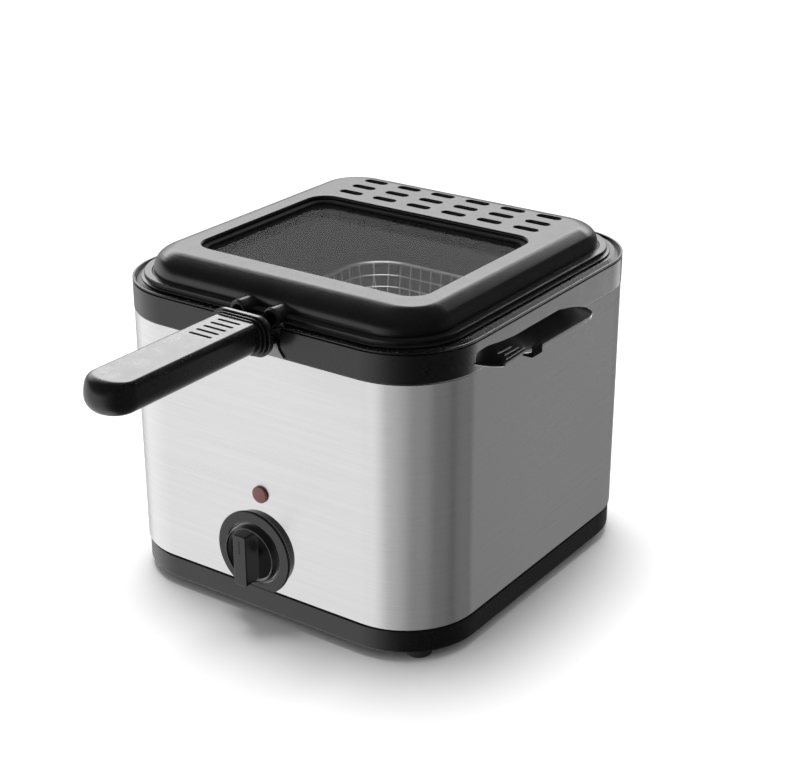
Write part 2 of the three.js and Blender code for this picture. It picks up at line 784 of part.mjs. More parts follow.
function frameScrewPlaces() {
  return [[-1, -1], [1, -1], [1, 1], [-1, 1]].map(
    ([x, y]) => [x * FRAME.screwX, WINDOW.centreY + y * FRAME.screwY],
  );
}

function filterScrewPlaces() {
  return [-1, 1].map((side) => [side * FILTER.screwX, (FILTER.y0 + FILTER.y1) / 2]);
}

function lidShell() {
  const flange = COLLAR_TOP + GAP;
  const shell = sweepRound(LID, [
    [-12, LID_UNDERSIDE],
    [-7, LID_UNDERSIDE - 2],
    [-5, LID_UNDERSIDE - 6.5],
    [-5, flange - 4.8],
    [-3, flange - 4.8],
    [-3, flange],
    [6, flange],
    [5, flange + 1],
    [5, flange + 3.3],
    [0.9, flange + 3.3],
    [0, flange + 4.6],
    [-0.9, LID_TOP - 6.6],
    [-3, LID_TOP - 4.1],
    [-7, LID_TOP - 1.9],
    [-15, LID_TOP],
  ]);
  const frameBosses = frameScrewPlaces().map(
    ([x, y]) => uprightRod(3.2, FRAME.top + GAP, LID_UNDERSIDE + 1, x, y, 12),
  );
  const filterBosses = filterScrewPlaces().map(
    ([x, y]) => uprightRod(3.2, FILTER.coverFloor + 1.5 + GAP, LID_UNDERSIDE + 1, x, y, 12),
  );
  const frontBosses = [-1, 1].map(
    (side) => levelRod(LID_BOSS.radius, LID_BOSS.front, -98, side * LID_BOSS.x, LID_BOSS.z, 20),
  );
  const screwHoles = [...frameScrewPlaces(), ...filterScrewPlaces()].map(
    ([x, y]) => uprightRod(1.7, 170, LID_UNDERSIDE - 0.6, x, y, 10),
  );
  const bores = [-1, 1].map(
    (side) => levelRod(LID_BOSS.bore, LID_BOSS.front - 1, -103, side * LID_BOSS.x, LID_BOSS.z, 16),
  );
  const opening = prism(roundedOutline(WINDOW), 180, 195);
  const solid = join([shell, ...frameBosses, ...filterBosses, ...frontBosses]);
  return cut(solid, [opening, ...ventSlots(), ...screwHoles, ...bores]);
}

function windowRing(outer, inner, bottom, top) {
  return sweepRound(WINDOW, [[outer, bottom], [outer, top], [inner, top], [inner, bottom]], true);
}

function windowFrame() {
  const bottom = FRAME.top - FRAME.thickness;
  const plate = prism(roundedOutline(FRAME_PLAN), bottom, FRAME.top);
  const inner = { ...WINDOW, width: WINDOW.width - 5, depth: WINDOW.depth - 5, radius: 10 };
  const holes = frameScrewPlaces().map(([x, y]) => uprightRod(1.8, 170, 190, x, y, 10));
  return cut(plate, [prism(roundedOutline(inner), 170, 190), ...holes]);
}

function filterCover() {
  const middle = (FILTER.y0 + FILTER.y1) / 2;
  const plan = { width: 2 * FILTER.screwX + 12, depth: FILTER.y1 - FILTER.y0 + 3, radius: 5, centreY: middle };
  const plate = prism(roundedOutline(plan), FILTER.coverFloor, FILTER.coverFloor + 1.5);
  const slots = [];
  for (const column of [-1, 0, 1]) {
    for (const row of [-1, 0, 1]) {
      slots.push(slotCutter(column * 40, middle + row * 9.5, 32, 4, 170, 190));
    }
  }
  const holes = filterScrewPlaces().map(([x, y]) => uprightRod(1.8, 170, 190, x, y, 10));
  return cut(plate, [...slots, ...holes]);
}

function buildLid() {
  const lid = new THREE.Group();
  const glassBottom = GLASS.top - GLASS.thickness;
  const glassPlan = {
    ...WINDOW,
    width: WINDOW.width + 2 * GLASS.margin,
    depth: WINDOW.depth + 2 * GLASS.margin,
    radius: WINDOW.radius + GLASS.margin,
  };
  const filterBottom = FILTER.coverFloor + 1.5 + GAP;
  const pad = block(-FILTER.halfWidth, FILTER.halfWidth, FILTER.y0, FILTER.y1, filterBottom, LID_UNDERSIDE - GAP);
  addPiece(lid, 'lid_shell', lidShell(), 'blackPlastic');
  addPiece(lid, 'window_gasket', windowRing(3.5, -3, GLASS.top + GAP, LID_UNDERSIDE - GAP), 'silicone');
  addPiece(lid, 'window_glass', prism(roundedOutline(glassPlan), glassBottom, GLASS.top), 'windowGlass');
  addPiece(lid, 'window_frame', windowFrame(), 'blackPlastic');
  const frameScrew = screwGeometry(3, 1.6, 1.4, 10.5).rotateX(Math.PI / 2);
  frameScrewPlaces().forEach(([x, y], i) => {
    const z = FRAME.top - FRAME.thickness - GAP - 1.6;
    addPiece(lid, `frame_screw_${i + 1}`, frameScrew, 'plainSteel').position.set(x, y, z);
  });
  addPiece(lid, 'vent_filter', pad, 'filterPad');
  addPiece(lid, 'filter_cover', filterCover(), 'blackPlastic');
  const coverScrew = screwGeometry(3, 1.6, 1.4, 7).rotateX(Math.PI / 2);
  filterScrewPlaces().forEach(([x, y], i) => {
    const z = FILTER.coverFloor - GAP - 1.6;
    addPiece(lid, `filter_screw_${i + 1}`, coverScrew, 'plainSteel').position.set(x, y, z);
  });
  return lid;
}

// ---------------------------------------------------------------- whole fryer

const fryer = new THREE.Group();
fryer.add(buildHousing(), buildControl(), buildBasket(), buildLid());
// Puts the origin under the middle of the overall box, handle and gland included.
fryer.position.y = (HANDLE_REACH - GLAND_REACH) / 2;

export default fryer;
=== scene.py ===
import json
import math

import bmesh
import bpy
from mathutils import Matrix, Vector


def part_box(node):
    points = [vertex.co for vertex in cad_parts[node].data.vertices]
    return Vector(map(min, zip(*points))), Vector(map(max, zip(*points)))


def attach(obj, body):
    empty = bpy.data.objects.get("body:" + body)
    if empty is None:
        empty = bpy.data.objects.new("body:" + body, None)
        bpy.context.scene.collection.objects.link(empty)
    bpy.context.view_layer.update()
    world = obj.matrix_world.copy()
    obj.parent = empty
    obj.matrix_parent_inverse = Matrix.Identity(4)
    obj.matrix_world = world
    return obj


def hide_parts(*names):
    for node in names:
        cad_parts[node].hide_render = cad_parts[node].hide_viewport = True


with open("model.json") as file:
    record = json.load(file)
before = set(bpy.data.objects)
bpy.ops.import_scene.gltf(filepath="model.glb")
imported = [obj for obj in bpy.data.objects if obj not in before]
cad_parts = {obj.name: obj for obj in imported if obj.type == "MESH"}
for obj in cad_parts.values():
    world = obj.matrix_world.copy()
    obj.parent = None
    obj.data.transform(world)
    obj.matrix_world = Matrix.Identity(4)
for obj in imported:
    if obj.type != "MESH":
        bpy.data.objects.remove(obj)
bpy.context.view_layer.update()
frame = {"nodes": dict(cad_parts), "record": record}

# Lengths are millimetres in the shared frame, unless a name ends in _M. MM turns them into metres.
MM = 0.001
CORNER_STEPS = 18
ROUND_STEPS = 48
DIAL_STEPS = 96

# Edges that turn by more than this many degrees look sharp, unless a piece says otherwise.
MITRE = 30

# Turns a shape drawn upright so that its +Z points to the front, along -Y.
FRONTWARD = Matrix.Rotation(math.radians(90), 4, "X")


# ---- places taken from the frame

class Place:
    """A CAD node's box, in millimetres."""

    def __init__(self, node):
        low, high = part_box(node)
        self.low = low / MM
        self.high = high / MM
        self.middle = (self.low + self.high) / 2
        self.size = self.high - self.low


class Plan:
    """A rounded rectangle seen from above: a centre, half sizes and a corner radius.

    Insets are taken in full at the front and back; `side_share` is how much of them the sides take.
    """

    def __init__(self, middle, width, depth, radius, side_share=1.0):
        self.side_share = side_share
        self.x, self.y = middle
        self.half_width = width / 2
        self.half_depth = depth / 2
        self.radius = radius

    @classmethod
    def of(cls, place, radius):
        return cls((place.middle.x, place.middle.y), place.size.x, place.size.y, radius)

    def ring(self, offset, z, steps=CORNER_STEPS):
        radius = max(self.radius + offset, 0.01)
        widen = (self.side_share - 1) * min(offset, 0)
        points = []
        for corner, (sx, sy) in enumerate(((1, 1), (-1, 1), (-1, -1), (1, -1))):
            cx = self.x + sx * (self.half_width - self.radius + widen)
            cy = self.y + sy * (self.half_depth - self.radius)
            for step in range(steps + 1):
                angle = (corner + step / steps) * math.pi / 2
                points.append((cx + radius * math.cos(angle), cy + radius * math.sin(angle), z))
        return points


CASE = Place("steel_case")
BASE = Place("base_tray")
COLLAR = Place("collar")
POT = Place("inner_pot")
LID = Place("lid_shell")
GLASS = Place("window_glass")
GASKET = Place("window_gasket")
FRAME = Place("window_frame")
PAD = Place("vent_filter")
BASKET = Place("basket_mesh")
RIM = Place("basket_rim")
HOOK = Place("basket_hook")
GRIP = Place("handle_grip")
BEZEL = Place("dial_bezel")
KNOB = Place("control_knob")
LAMP = Place("lamp_lens")
GLAND = Place("cord_gland")

CENTRE_Y = CASE.middle.y
FRONT_Y = CASE.low.y
COLLAR_FRONT_Y = COLLAR.low.y
COLLAR_OVERHANG = 0.4
DIAL_Z = KNOB.middle.z


# ---- mesh helpers

def arc_corner(before, corner, after, radius, steps):
    """Points that round a corner of a flat outline, or the corner itself where radius is 0."""
    here = Vector(corner)
    back = Vector(before) - here
    ahead = Vector(after) - here
    if radius <= 0 or back.length < 1e-6 or ahead.length < 1e-6:
        return [tuple(here)]
    half = back.angle(ahead) / 2
    if half > math.radians(89) or half < math.radians(2):
        return [tuple(here)]
    reach = min(radius / math.tan(half), 0.49 * back.length, 0.49 * ahead.length)
    radius = reach * math.tan(half)
    middle = here + (back.normalized() + ahead.normalized()).normalized() * radius / math.sin(half)
    start = here + back.normalized() * reach - middle
    end = here + ahead.normalized() * reach - middle
    turn = start.angle_signed(end)
    points = []
    for step in range(steps + 1):
        angle = -turn * step / steps
        spun = Vector((
            start.x * math.cos(angle) - start.y * math.sin(angle),
            start.x * math.sin(angle) + start.y * math.cos(angle),
        ))
        points.append(tuple(middle + spun))
    return points


def rounded(profile, closed, steps):
    """A profile of (across, up) or (across, up, radius) points with its corners rounded."""
    flat = [(p[0], p[1]) for p in profile]
    radii = [p[2] if len(p) > 2 else 0 for p in profile]
    count = len(flat)
    points = []
    for i in range(count):
        at_end = not closed and i in (0, count - 1)
        radius = 0 if at_end else radii[i]
        points += arc_corner(flat[i - 1], flat[i], flat[(i + 1) % count], radius, steps)
    return points


def show(name, data):
    """A new object in the scene."""
    made = bpy.data.objects.new(name, data)
    bpy.context.scene.collection.objects.link(made)
    return made


def add_mesh(name, points, faces, smooth=MITRE):
    """A new mesh object from points in millimetres, smooth except at edges sharper than `smooth`."""
    mesh = bpy.data.meshes.new(name)
    mesh.from_pydata([tuple(c * MM for c in p) for p in points], [], faces)
    piece = show(name, mesh)
    clean(piece, smooth)
    return piece


def clean(piece, smooth=MITRE):
    """Welds doubled points, turns the faces outwards and sets which edges look sharp."""
    mesh = piece.data
    work = bmesh.new()
    work.from_mesh(mesh)
    bmesh.ops.remove_doubles(work, verts=work.verts, dist=1e-6)
    bmesh.ops.dissolve_degenerate(work, edges=work.edges, dist=1e-6)
    bmesh.ops.recalc_face_normals(work, faces=work.faces)
    work.to_mesh(mesh)
    work.free()
    for polygon in mesh.polygons:
        polygon.use_smooth = True
    mesh.set_sharp_from_angle(angle=math.radians(smooth))


def move(piece, matrix=None, x=0, y=0, z=0):
    """Turns and moves a mesh; the shift is in millimetres."""
    piece.data.transform(Matrix.Translation(Vector((x, y, z)) * MM) @ (matrix or Matrix.Identity(4)))
    return piece


def skin(rings, closed):
    """Faces that join a list of rings; the ends get caps unless the rings close on themselves."""
    count = len(rings[0])
    faces = []
    for r in range(len(rings) if closed else len(rings) - 1):
        low = r * count
        high = ((r + 1) % len(rings)) * count
        for i in range(count):
            n = (i + 1) % count
            faces.append((low + i, low + n, high + n, high + i))
    if not closed:
        last = (len(rings) - 1) * count
        faces.append(tuple(reversed(range(count))))
        faces.append(tuple(range(last, last + count)))
    return faces


def skinned(name, rings, closed=False, smooth=MITRE):
    """A mesh skinned over rings of points."""
    return add_mesh(name, [p for ring in rings for p in ring], skin(rings, closed), smooth)


def sweep(name, plan, profile, closed=False, fillet_steps=5):
    """Carries an (offset, z, radius) profile round a plan."""
    rings = [plan.ring(o, z) for o, z in rounded(profile, closed, fillet_steps)]
    return skinned(name, rings, closed)


def lathe(name, profile, closed=False, sides=ROUND_STEPS):
    """Turns an (r, z, radius) profile about the Z axis; a radius of 0 becomes a tiny one."""
    angles = [(i / sides) * 2 * math.pi for i in range(sides)]
    rings = []
    for r, z in rounded(profile, closed, 4):
        reach = max(r, 1e-4)
        rings.append([(reach * math.cos(a), reach * math.sin(a), z) for a in angles])
    return skinned(name, rings, closed)


def slab(name, outline, z0, z1, edge=0.0):
    """A flat plate from an outline of (x, y, radius) points, with its edges rounded by `edge`."""
    flat = rounded(outline, True, 6)
    rings = [[(x, y, z) for x, y in flat] for z in (z0, z1)]
    piece = skinned(name, rings)
    if edge > 0:
        round_edges(piece, edge)
    return piece


def round_edges(piece, width, sharper_than=40):
    """Rounds every edge that turns by more than `sharper_than` degrees."""
    work = bmesh.new()
    work.from_mesh(piece.data)
    edges = [e for e in work.edges if len(e.link_faces) == 2
             and e.calc_face_angle(0) > math.radians(sharper_than)]
    bmesh.ops.bevel(work, geom=edges, offset=width * MM, segments=3, profile=0.5,
                    affect="EDGES", clamp_overlap=True)
    work.to_mesh(piece.data)
    work.free()
    clean(piece)


def frames_along(points, closed):
    """A side and an up direction at each point of a path, turning as little as possible."""
    count = len(points)
    ways = []
    for i in range(count):
        before = points[i - 1] if closed or i > 0 else points[i]
        after = points[(i + 1) % count] if closed or i < count - 1 else points[i]
        ways.append((after - before).normalized())
    side = ways[0].orthogonal().normalized()
    found = []
    for way in ways:
        side = (side - way * side.dot(way)).normalized()
        found.append((side, way.cross(side)))
    return found


def wire_rings(path, radius, sides, closed=False):
    """The rings of points round a path that make a round wire."""
    points = [Vector(p) for p in path]
    rings = []
    for point, (side, up) in zip(points, frames_along(points, closed)):
        ring = []
        for i in range(sides):
            angle = (i / sides) * 2 * math.pi
            ring.append(tuple(point + (side * math.cos(angle) + up * math.sin(angle)) * radius))
        rings.append(ring)
    return rings


def wires(name, paths, radius, sides, closed=False):
    """One mesh of round wires; each path is a list of points."""
    points = []
    faces = []
    for path in paths:
        rings = wire_rings(path, radius, sides, closed)
        start = len(points)
        points += [p for ring in rings for p in ring]
        faces += [tuple(start + i for i in face) for face in skin(rings, closed)]
    return add_mesh(name, points, faces, 60)


def carve(piece, cutters):
    """Cuts other meshes out of a piece, and deletes them."""
    for cutter in cutters:
        step = piece.modifiers.new("carve", "BOOLEAN")
        step.operation = "DIFFERENCE"
        step.solver = "EXACT"
        step.object = cutter
    bpy.context.view_layer.update()
    shaped = piece.evaluated_get(bpy.context.evaluated_depsgraph_get())
    result = bpy.data.meshes.new_from_object(shaped)
    piece.modifiers.clear()
    piece.data = result
    for cutter in cutters:
        bpy.data.objects.remove(cutter)
    clean(piece)
    return piece


def join(name, pieces, smooth=MITRE):
    """One object that holds several meshes."""
    work = bmesh.new()
    for piece in pieces:
        work.from_mesh(piece.data)
    mesh = bpy.data.meshes.new(name)
    work.to_mesh(mesh)
    work.free()
    for piece in pieces:
        bpy.data.objects.remove(piece)
    joined = show(name, mesh)
    clean(joined, smooth)
    return joined


def even_shading(piece):
    """Keeps flat faces looking flat beside rounded edges."""
    step = piece.modifiers.new("even_shading", "WEIGHTED_NORMAL")
    step.mode = "FACE_AREA"
    step.weight = 80
    step.keep_sharp = True


def settle(piece, body, finish, replaced):
    """Gives a piece its material and the body that carries it, and hides the CAD nodes it stands for."""
    piece.data.materials.clear()
    piece.data.materials.append(finish)
    even_shading(piece)
    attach(piece, body)
    if replaced:
        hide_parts(*replaced)
    return piece


def capsule_cutter(x, y, length, width, z0, z1, flare=0.0):
    """A slot-shaped cutter along X whose top opens out by `flare`, to leave a rounded lip."""
    plan = Plan((x, y), length, width, width / 2 - 0.01)
    profile = [(0, z0), (0, z1)]
    if flare:
        profile = [(0, z0), (0, z1 - flare - 1, flare * 2), (flare + 1, z1, 0)]
    return sweep("cutter", plan, profile, False, 3)


# ---- materials

class Finish:
    """A material with one Principled shader, whose detail nodes are added one at a time.

    Values are given by input name, with _ for each space.
    """

    def __init__(self, name, **values):
        self.material = bpy.data.materials.new(name)
        self.material.use_nodes = True
        self.tree = self.material.node_tree
        self.shader = self.tree.nodes["Principled BSDF"]
        for key, value in values.items():
            self.shader.inputs[key.replace("_", " ")].default_value = value
        self.place = self.node("ShaderNodeTexCoord").outputs["Object"]

    def node(self, kind, inputs=None, **settings):
        made = self.tree.nodes.new(kind)
        for key, value in settings.items():
            setattr(made, key, value)
        for key, value in (inputs or {}).items():
            if isinstance(value, bpy.types.NodeSocket):
                self.tree.links.new(value, made.inputs[key])
            else:
                made.inputs[key].default_value = value
        return made

    def stretched(self, scale):
        return self.node("ShaderNodeMapping", {"Vector": self.place, "Scale": scale}).outputs["Vector"]

    def noise(self, scale, detail=4, roughness=0.6, where=None):
        made = self.node("ShaderNodeTexNoise", {
            "Vector": where or self.place, "Scale": scale, "Detail": detail, "Roughness": roughness,
        })
        return made.outputs["Fac"]

    def between(self, factor, low, high, start=0.3, end=0.7):
        """Maps a factor to a number from low to high."""
        made = self.node("ShaderNodeMapRange", {
            "Value": factor, "From Min": start, "From Max": end, "To Min": low, "To Max": high,
        })
        return made.outputs["Result"]

    def colours(self, factor, one, other, start=0.3, end=0.7):
        made = self.node("ShaderNodeValToRGB", {"Fac": factor})
        ramp = made.color_ramp
        ramp.elements[0].position = start
        ramp.elements[0].color = (*one, 1)
        ramp.elements[1].position = end
        ramp.elements[1].color = (*other, 1)
        return made.outputs["Color"]

    def bump(self, height, strength, distance_m, below=None):
        inputs = {"Height": height, "Strength": strength, "Distance": distance_m}
        if below is not None:
            inputs["Normal"] = below
        return self.node("ShaderNodeBump", inputs).outputs["Normal"]

    def set(self, **links):
        for key, value in links.items():
            self.tree.links.new(value, self.shader.inputs[key.replace("_", " ")])
        return self.material


def grey(level):
    return (level, level, level)


def moulded_plastic(name, level, roughness, grain_mm, grain_depth, specular=0.62):
    """Moulded plastic: a fine spark-eroded grain, faint flow clouds and slightly uneven gloss."""
    finish = Finish(name, IOR=1.5, Specular_IOR_Level=specular)
    clouds = finish.noise(28, 3)
    grain = finish.noise(1 / (grain_mm * MM), 3, 0.7)
    gloss = finish.noise(90, 5, 0.65)
    colour = finish.colours(clouds, grey(level * 0.8), grey(level * 1.25))
    rough = finish.between(gloss, roughness - 0.025, roughness + 0.025)
    normal = finish.bump(grain, grain_depth, 0.00008)
    return finish.set(Base_Color=colour, Roughness=rough, Normal=normal)


def brushed_steel(name, level=0.74, roughness=0.3, anisotropy=0.75):
    """Sheet steel brushed level round the case: long fine scratches in colour, gloss and relief."""
    finish = Finish(name, Metallic=1.0, Anisotropic=anisotropy, Anisotropic_Rotation=0.25)
    broad = finish.noise(1, 4, 0.6, finish.stretched((9, 9, 420)))
    fine = finish.noise(1, 3, 0.7, finish.stretched((26, 26, 2400)))
    clouds = finish.noise(7, 2)
    streaks = finish.node("ShaderNodeMix", {"Factor": 0.45, "A": broad, "B": fine}).outputs["Result"]
    colour = finish.colours(streaks, grey(level * 0.93), grey(min(level * 1.05, 1)), 0.34, 0.66)
    rough = finish.between(finish.node("ShaderNodeMix", {"Factor": 0.3, "A": streaks, "B": clouds})
                           .outputs["Result"], roughness - 0.05, roughness + 0.07, 0.35, 0.65)
    normal = finish.bump(fine, 0.16, 0.00005, finish.bump(broad, 0.1, 0.00006))
    return finish.set(Base_Color=colour, Roughness=rough, Normal=normal)


def plated_metal(name, level, roughness, scale=160):
    """Plated or drawn metal: cloudy plating and fine random scratches."""
    finish = Finish(name, Metallic=1.0)
    clouds = finish.noise(scale, 4)
    scratches = finish.noise(1, 4, 0.7, finish.stretched((300, 2600, 900)))
    colour = finish.colours(clouds, grey(level * 0.88), grey(min(level * 1.08, 1)))
    rough = finish.between(scratches, roughness - 0.07, roughness + 0.09)
    return finish.set(Base_Color=colour, Roughness=rough, Normal=finish.bump(scratches, 0.12, 0.00004))


def coated_pot(name):
    """Dark non-stick coating: a pale fleck in grey and a soft orange-peel."""
    finish = Finish(name, Metallic=0.25, IOR=1.5)
    cells = finish.node("ShaderNodeTexVoronoi", {"Vector": finish.place, "Scale": 900.0})
    peel = finish.noise(350, 3)
    colour = finish.colours(cells.outputs["Distance"], grey(0.09), grey(0.066), 0.02, 0.16)
    rough = finish.between(peel, 0.3, 0.45)
    return finish.set(Base_Color=colour, Roughness=rough, Normal=finish.bump(peel, 0.15, 0.0001))


def matte_rubber(name, level=0.02):
    """Soft black rubber: a dull powdery surface with a coarse grain."""
    finish = Finish(name, IOR=1.5)
    grain = finish.noise(1800, 4, 0.7)
    dust = finish.noise(60, 5, 0.65)
    colour = finish.colours(dust, grey(level * 0.8), grey(level * 1.7))
    rough = finish.between(dust, 0.68, 0.88)
    return finish.set(Base_Color=colour, Roughness=rough, Normal=finish.bump(grain, 0.3, 0.0001))


def tinted_plastic(name, dark, light, roughness):
    """Coloured plastic or wire insulation, with faint clouds and an uneven gloss."""
    finish = Finish(name, IOR=1.5)
    clouds = finish.noise(220, 4)
    colour = finish.colours(clouds, dark, light)
    rough = finish.between(finish.noise(500, 3), roughness - 0.08, roughness + 0.08)
    return finish.set(Base_Color=colour, Roughness=rough, Normal=finish.bump(clouds, 0.08, 0.00008))


def lamp_lens_finish(name):
    """Dark red moulded lens with faint vertical flutes inside."""
    finish = Finish(name, IOR=1.49, Coat_Weight=0.4, Coat_Roughness=0.12)
    flutes = finish.node("ShaderNodeTexWave", {
        "Vector": finish.place, "Scale": 700.0, "Distortion": 0.6, "Detail": 1.0,
    }, wave_type="BANDS", bands_direction="X").outputs["Fac"]
    colour = finish.colours(flutes, (0.14, 0.035, 0.028), (0.27, 0.085, 0.07), 0.1, 0.9)
    rough = finish.between(finish.noise(600, 3), 0.25, 0.4)
    return finish.set(Base_Color=colour, Roughness=rough, Normal=finish.bump(flutes, 0.1, 0.0001))


def smoked_glass(name):
    """Smoked, bloomed glass: mostly clear, with faint smears that only change its gloss."""
    finish = Finish(name, IOR=1.45, Alpha=0.3, Specular_IOR_Level=0.06)
    smears = finish.noise(1, 5, 0.6, finish.stretched((14, 40, 14)))
    tint = finish.colours(finish.noise(5, 2), grey(0.015), grey(0.02))
    rough = finish.between(smears, 0.04, 0.12)
    return finish.set(Base_Color=tint, Roughness=rough)


def fibre_pad(name):
    """A coarse needled filter pad."""
    finish = Finish(name, Roughness=0.95)
    strands = finish.noise(1, 5, 0.8, finish.stretched((1600, 420, 900)))
    colour = finish.colours(strands, grey(0.02), grey(0.13), 0.35, 0.65)
    return finish.set(Base_Color=colour, Normal=finish.bump(strands, 0.8, 0.0006))


def fired_ceramic(name):
    """Unglazed off-white ceramic with a gritty surface."""
    finish = Finish(name, IOR=1.5)
    grit = finish.noise(1200, 4, 0.75)
    colour = finish.colours(finish.noise(120, 4), (0.62, 0.58, 0.5), (0.78, 0.75, 0.68))
    rough = finish.between(grit, 0.6, 0.8)
    return finish.set(Base_Color=colour, Roughness=rough, Normal=finish.bump(grit, 0.3, 0.0001))


def pale_floor(name):
    """The plain pale table that the fryer stands on."""
    finish = Finish(name, Roughness=0.9)
    colour = finish.colours(finish.noise(3, 2), grey(0.86), grey(0.88))
    return finish.set(Base_Color=colour)


# The function and the values that make each finish.
RECIPES = {
    "black_plastic": (moulded_plastic, 0.006, 0.28, 0.35, 0.1),
    "lid_black": (moulded_plastic, 0.006, 0.23, 1.0, 0.3),
    "knob_black": (moulded_plastic, 0.006, 0.24, 0.3, 0.12),
    "brushed_case": (brushed_steel,),
    "plated_steel": (plated_metal, 0.26, 0.36),
    "basket_wire": (plated_metal, 0.78, 0.42, 400),
    "cast_plate": (plated_metal, 0.5, 0.5, 90),
    "pot_lining": (coated_pot,),
    "low_sheen_black": (moulded_plastic, 0.004, 0.36, 0.35, 0.2, 0.06),
    "rubber_feet": (matte_rubber,),
    "silicone": (matte_rubber, 0.012),
    "lamp_red": (lamp_lens_finish,),
    "window_glass": (smoked_glass,),
    "filter_pad": (fibre_pad,),
    "ceramic": (fired_ceramic,),
    "nylon": (tinted_plastic, (0.55, 0.53, 0.47), (0.7, 0.68, 0.62), 0.5),
    "lead_brown": (tinted_plastic, (0.16, 0.07, 0.03), (0.24, 0.11, 0.05), 0.5),
    "lead_blue": (tinted_plastic, (0.03, 0.09, 0.3), (0.05, 0.14, 0.42), 0.5),
}
FINISHES = {name: recipe(name, *values) for name, (recipe, *values) in RECIPES.items()}


def place_piece(piece, body, slot, *replaced):
    """Settles a piece whose finish has the same name as its slot."""
    return settle(piece, body, FINISHES[slot], replaced)


# ---- housing

CASE_RADIUS = 42
BASE_RADIUS = CASE_RADIUS + 2
AIR_SLOT = {"x": 32, "pitch": 18, "length": 46, "width": 6}


def make_base():
    """The tray under the case, with a thin shadow gap round its top and two columns of air slots."""
    plan = Plan.of(BASE, BASE_RADIUS)
    bottom, top = BASE.low.z, BASE.high.z
    base = sweep("base_shell", plan, [
        (-2.4, bottom), (0, bottom + 0.2, 1.2), (0, top - 0.8, 0.2), (-1, top - 0.7, 0.1),
        (-1, top), (-2.5, top, 0.4), (-2.5, bottom + 2.5, 0.8), (-3.5, bottom + 2.5),
    ])
    slots = [capsule_cutter(side * AIR_SLOT["x"], CENTRE_Y + row * AIR_SLOT["pitch"],
                            AIR_SLOT["length"], AIR_SLOT["width"], bottom - 3, bottom + 6)
             for row in range(-2, 3) for side in (-1, 1)]
    return place_piece(carve(base, slots), "housing", "black_plastic", "base_tray")


SHEET = 0.8
CASE_FLANGE = 15


def make_case():
    """The brushed sheet wrapper with its turned-in bottom flange."""
    plan = Plan.of(CASE, CASE_RADIUS)
    bottom, top = CASE.low.z, CASE.high.z
    case = sweep("case_shell", plan, [
        (0, bottom, 0.5), (0, top, 0.3), (-SHEET, top), (-SHEET, bottom + SHEET),
        (-CASE_FLANGE, bottom + SHEET), (-CASE_FLANGE, bottom),
    ], closed=True, fillet_steps=3)
    return place_piece(case, "housing", "brushed_case", "steel_case")


COLLAR_TOP = COLLAR.high.z
COLLAR_BOTTOM = CASE.high.z + 0.3
COLLAR_RADIUS = CASE_RADIUS + 1
POT_SEAT = 162.7
NOTCH = {"half_width": 16.8, "floor": 165.5, "reach": 19}


def collar_plan():
    """The collar's outer wall, which stands a little proud of the case."""
    width = CASE.size.x + 2 * COLLAR_OVERHANG
    depth = CASE.size.y + 2 * COLLAR_OVERHANG
    return Plan((CASE.middle.x, CASE.middle.y), width, depth, COLLAR_RADIUS)


def make_collar():
    """The moulded ring on the case: a lip with a groove under it, the pot's seat and the handle's notch."""
    top, bottom, seat = COLLAR_TOP, COLLAR_BOTTOM, POT_SEAT
    ring = sweep("collar_ring", collar_plan(), [
        (-0.2, bottom), (0, bottom + 0.3, 0.2), (0, top - 1.7, 0.1), (-1, top - 1.5, 0.05),
        (-1, top - 0.8, 0.05), (0, top - 0.65, 0.1), (0, top, 0.35), (-1.2, top, 0.15),
        (-1.5, top - 1.7, 0.15), (-4.6, top, 0.3), (-12.6, top, 0.8), (-13, seat, 0.6),
        (-17, seat, 0.5), (-17, seat - 3), (-4.6, seat - 3), (-4.6, bottom - 8),
        (-2.2, bottom - 8), (-2.2, bottom),
    ], closed=True, fillet_steps=4)
    across, back = NOTCH["half_width"], COLLAR_FRONT_Y + NOTCH["reach"]
    notch = slab("notch", [
        (-across, COLLAR_FRONT_Y - 3, 0), (across, COLLAR_FRONT_Y - 3, 0),
        (across, back, 2), (-across, back, 2),
    ], NOTCH["floor"], LID.high.z)
    return place_piece(carve(ring, [notch]), "housing", "black_plastic", "collar")


WING_REACH = 7
WING_WALL = COLLAR.high.x - WING_REACH
WING_HOLLOW = 1.15
WING_STATIONS = 110

# The right-hand grip's sections, front to back: distance from the case's centre, reach from the
# collar's wall, height of the outer face's top and bottom, and how far the top sweeps up the wall.
WING_SECTIONS = [
    (-73, -0.3, 163.6, 162.2, 4.2),
    (-68, 1.6, 161.8, 160.2, 6.6),
    (-62, 4.6, 160.4, 158.4, 8.2),
    (-57, WING_REACH, 159.6, 157.4, 8.5),
    (-50, WING_REACH, 159.8, 157.6, 7.2),
    (-37, WING_REACH, 160.2, 158, 5.6),
    (-33, WING_REACH, 159.4, 156.8, 6.2),
    (-21, WING_REACH, 157.7, 154.6, 8),
    (10, WING_REACH, 157.5, 154.4, 8.1),
    (24, WING_REACH, 157.3, 154.3, 5.4),
    (32, 6.8, 157.2, 154.3, 3.2),
    (36.5, 5.4, 157.2, 154.3, 1.6),
    (39, 3, 157.2, 154.4, 0.7),
    (40.5, -0.3, 157.1, 154.6, 0.3),
]


def between_sections(y):
    """The grip's section values at one distance, read off between the listed ones."""
    for before, after in zip(WING_SECTIONS, WING_SECTIONS[1:]):
        if y <= after[0]:
            share = max((y - before[0]) / (after[0] - before[0]), 0)
            return [one + (other - one) * share for one, other in zip(before[1:], after[1:])]
    return list(WING_SECTIONS[-1][1:])


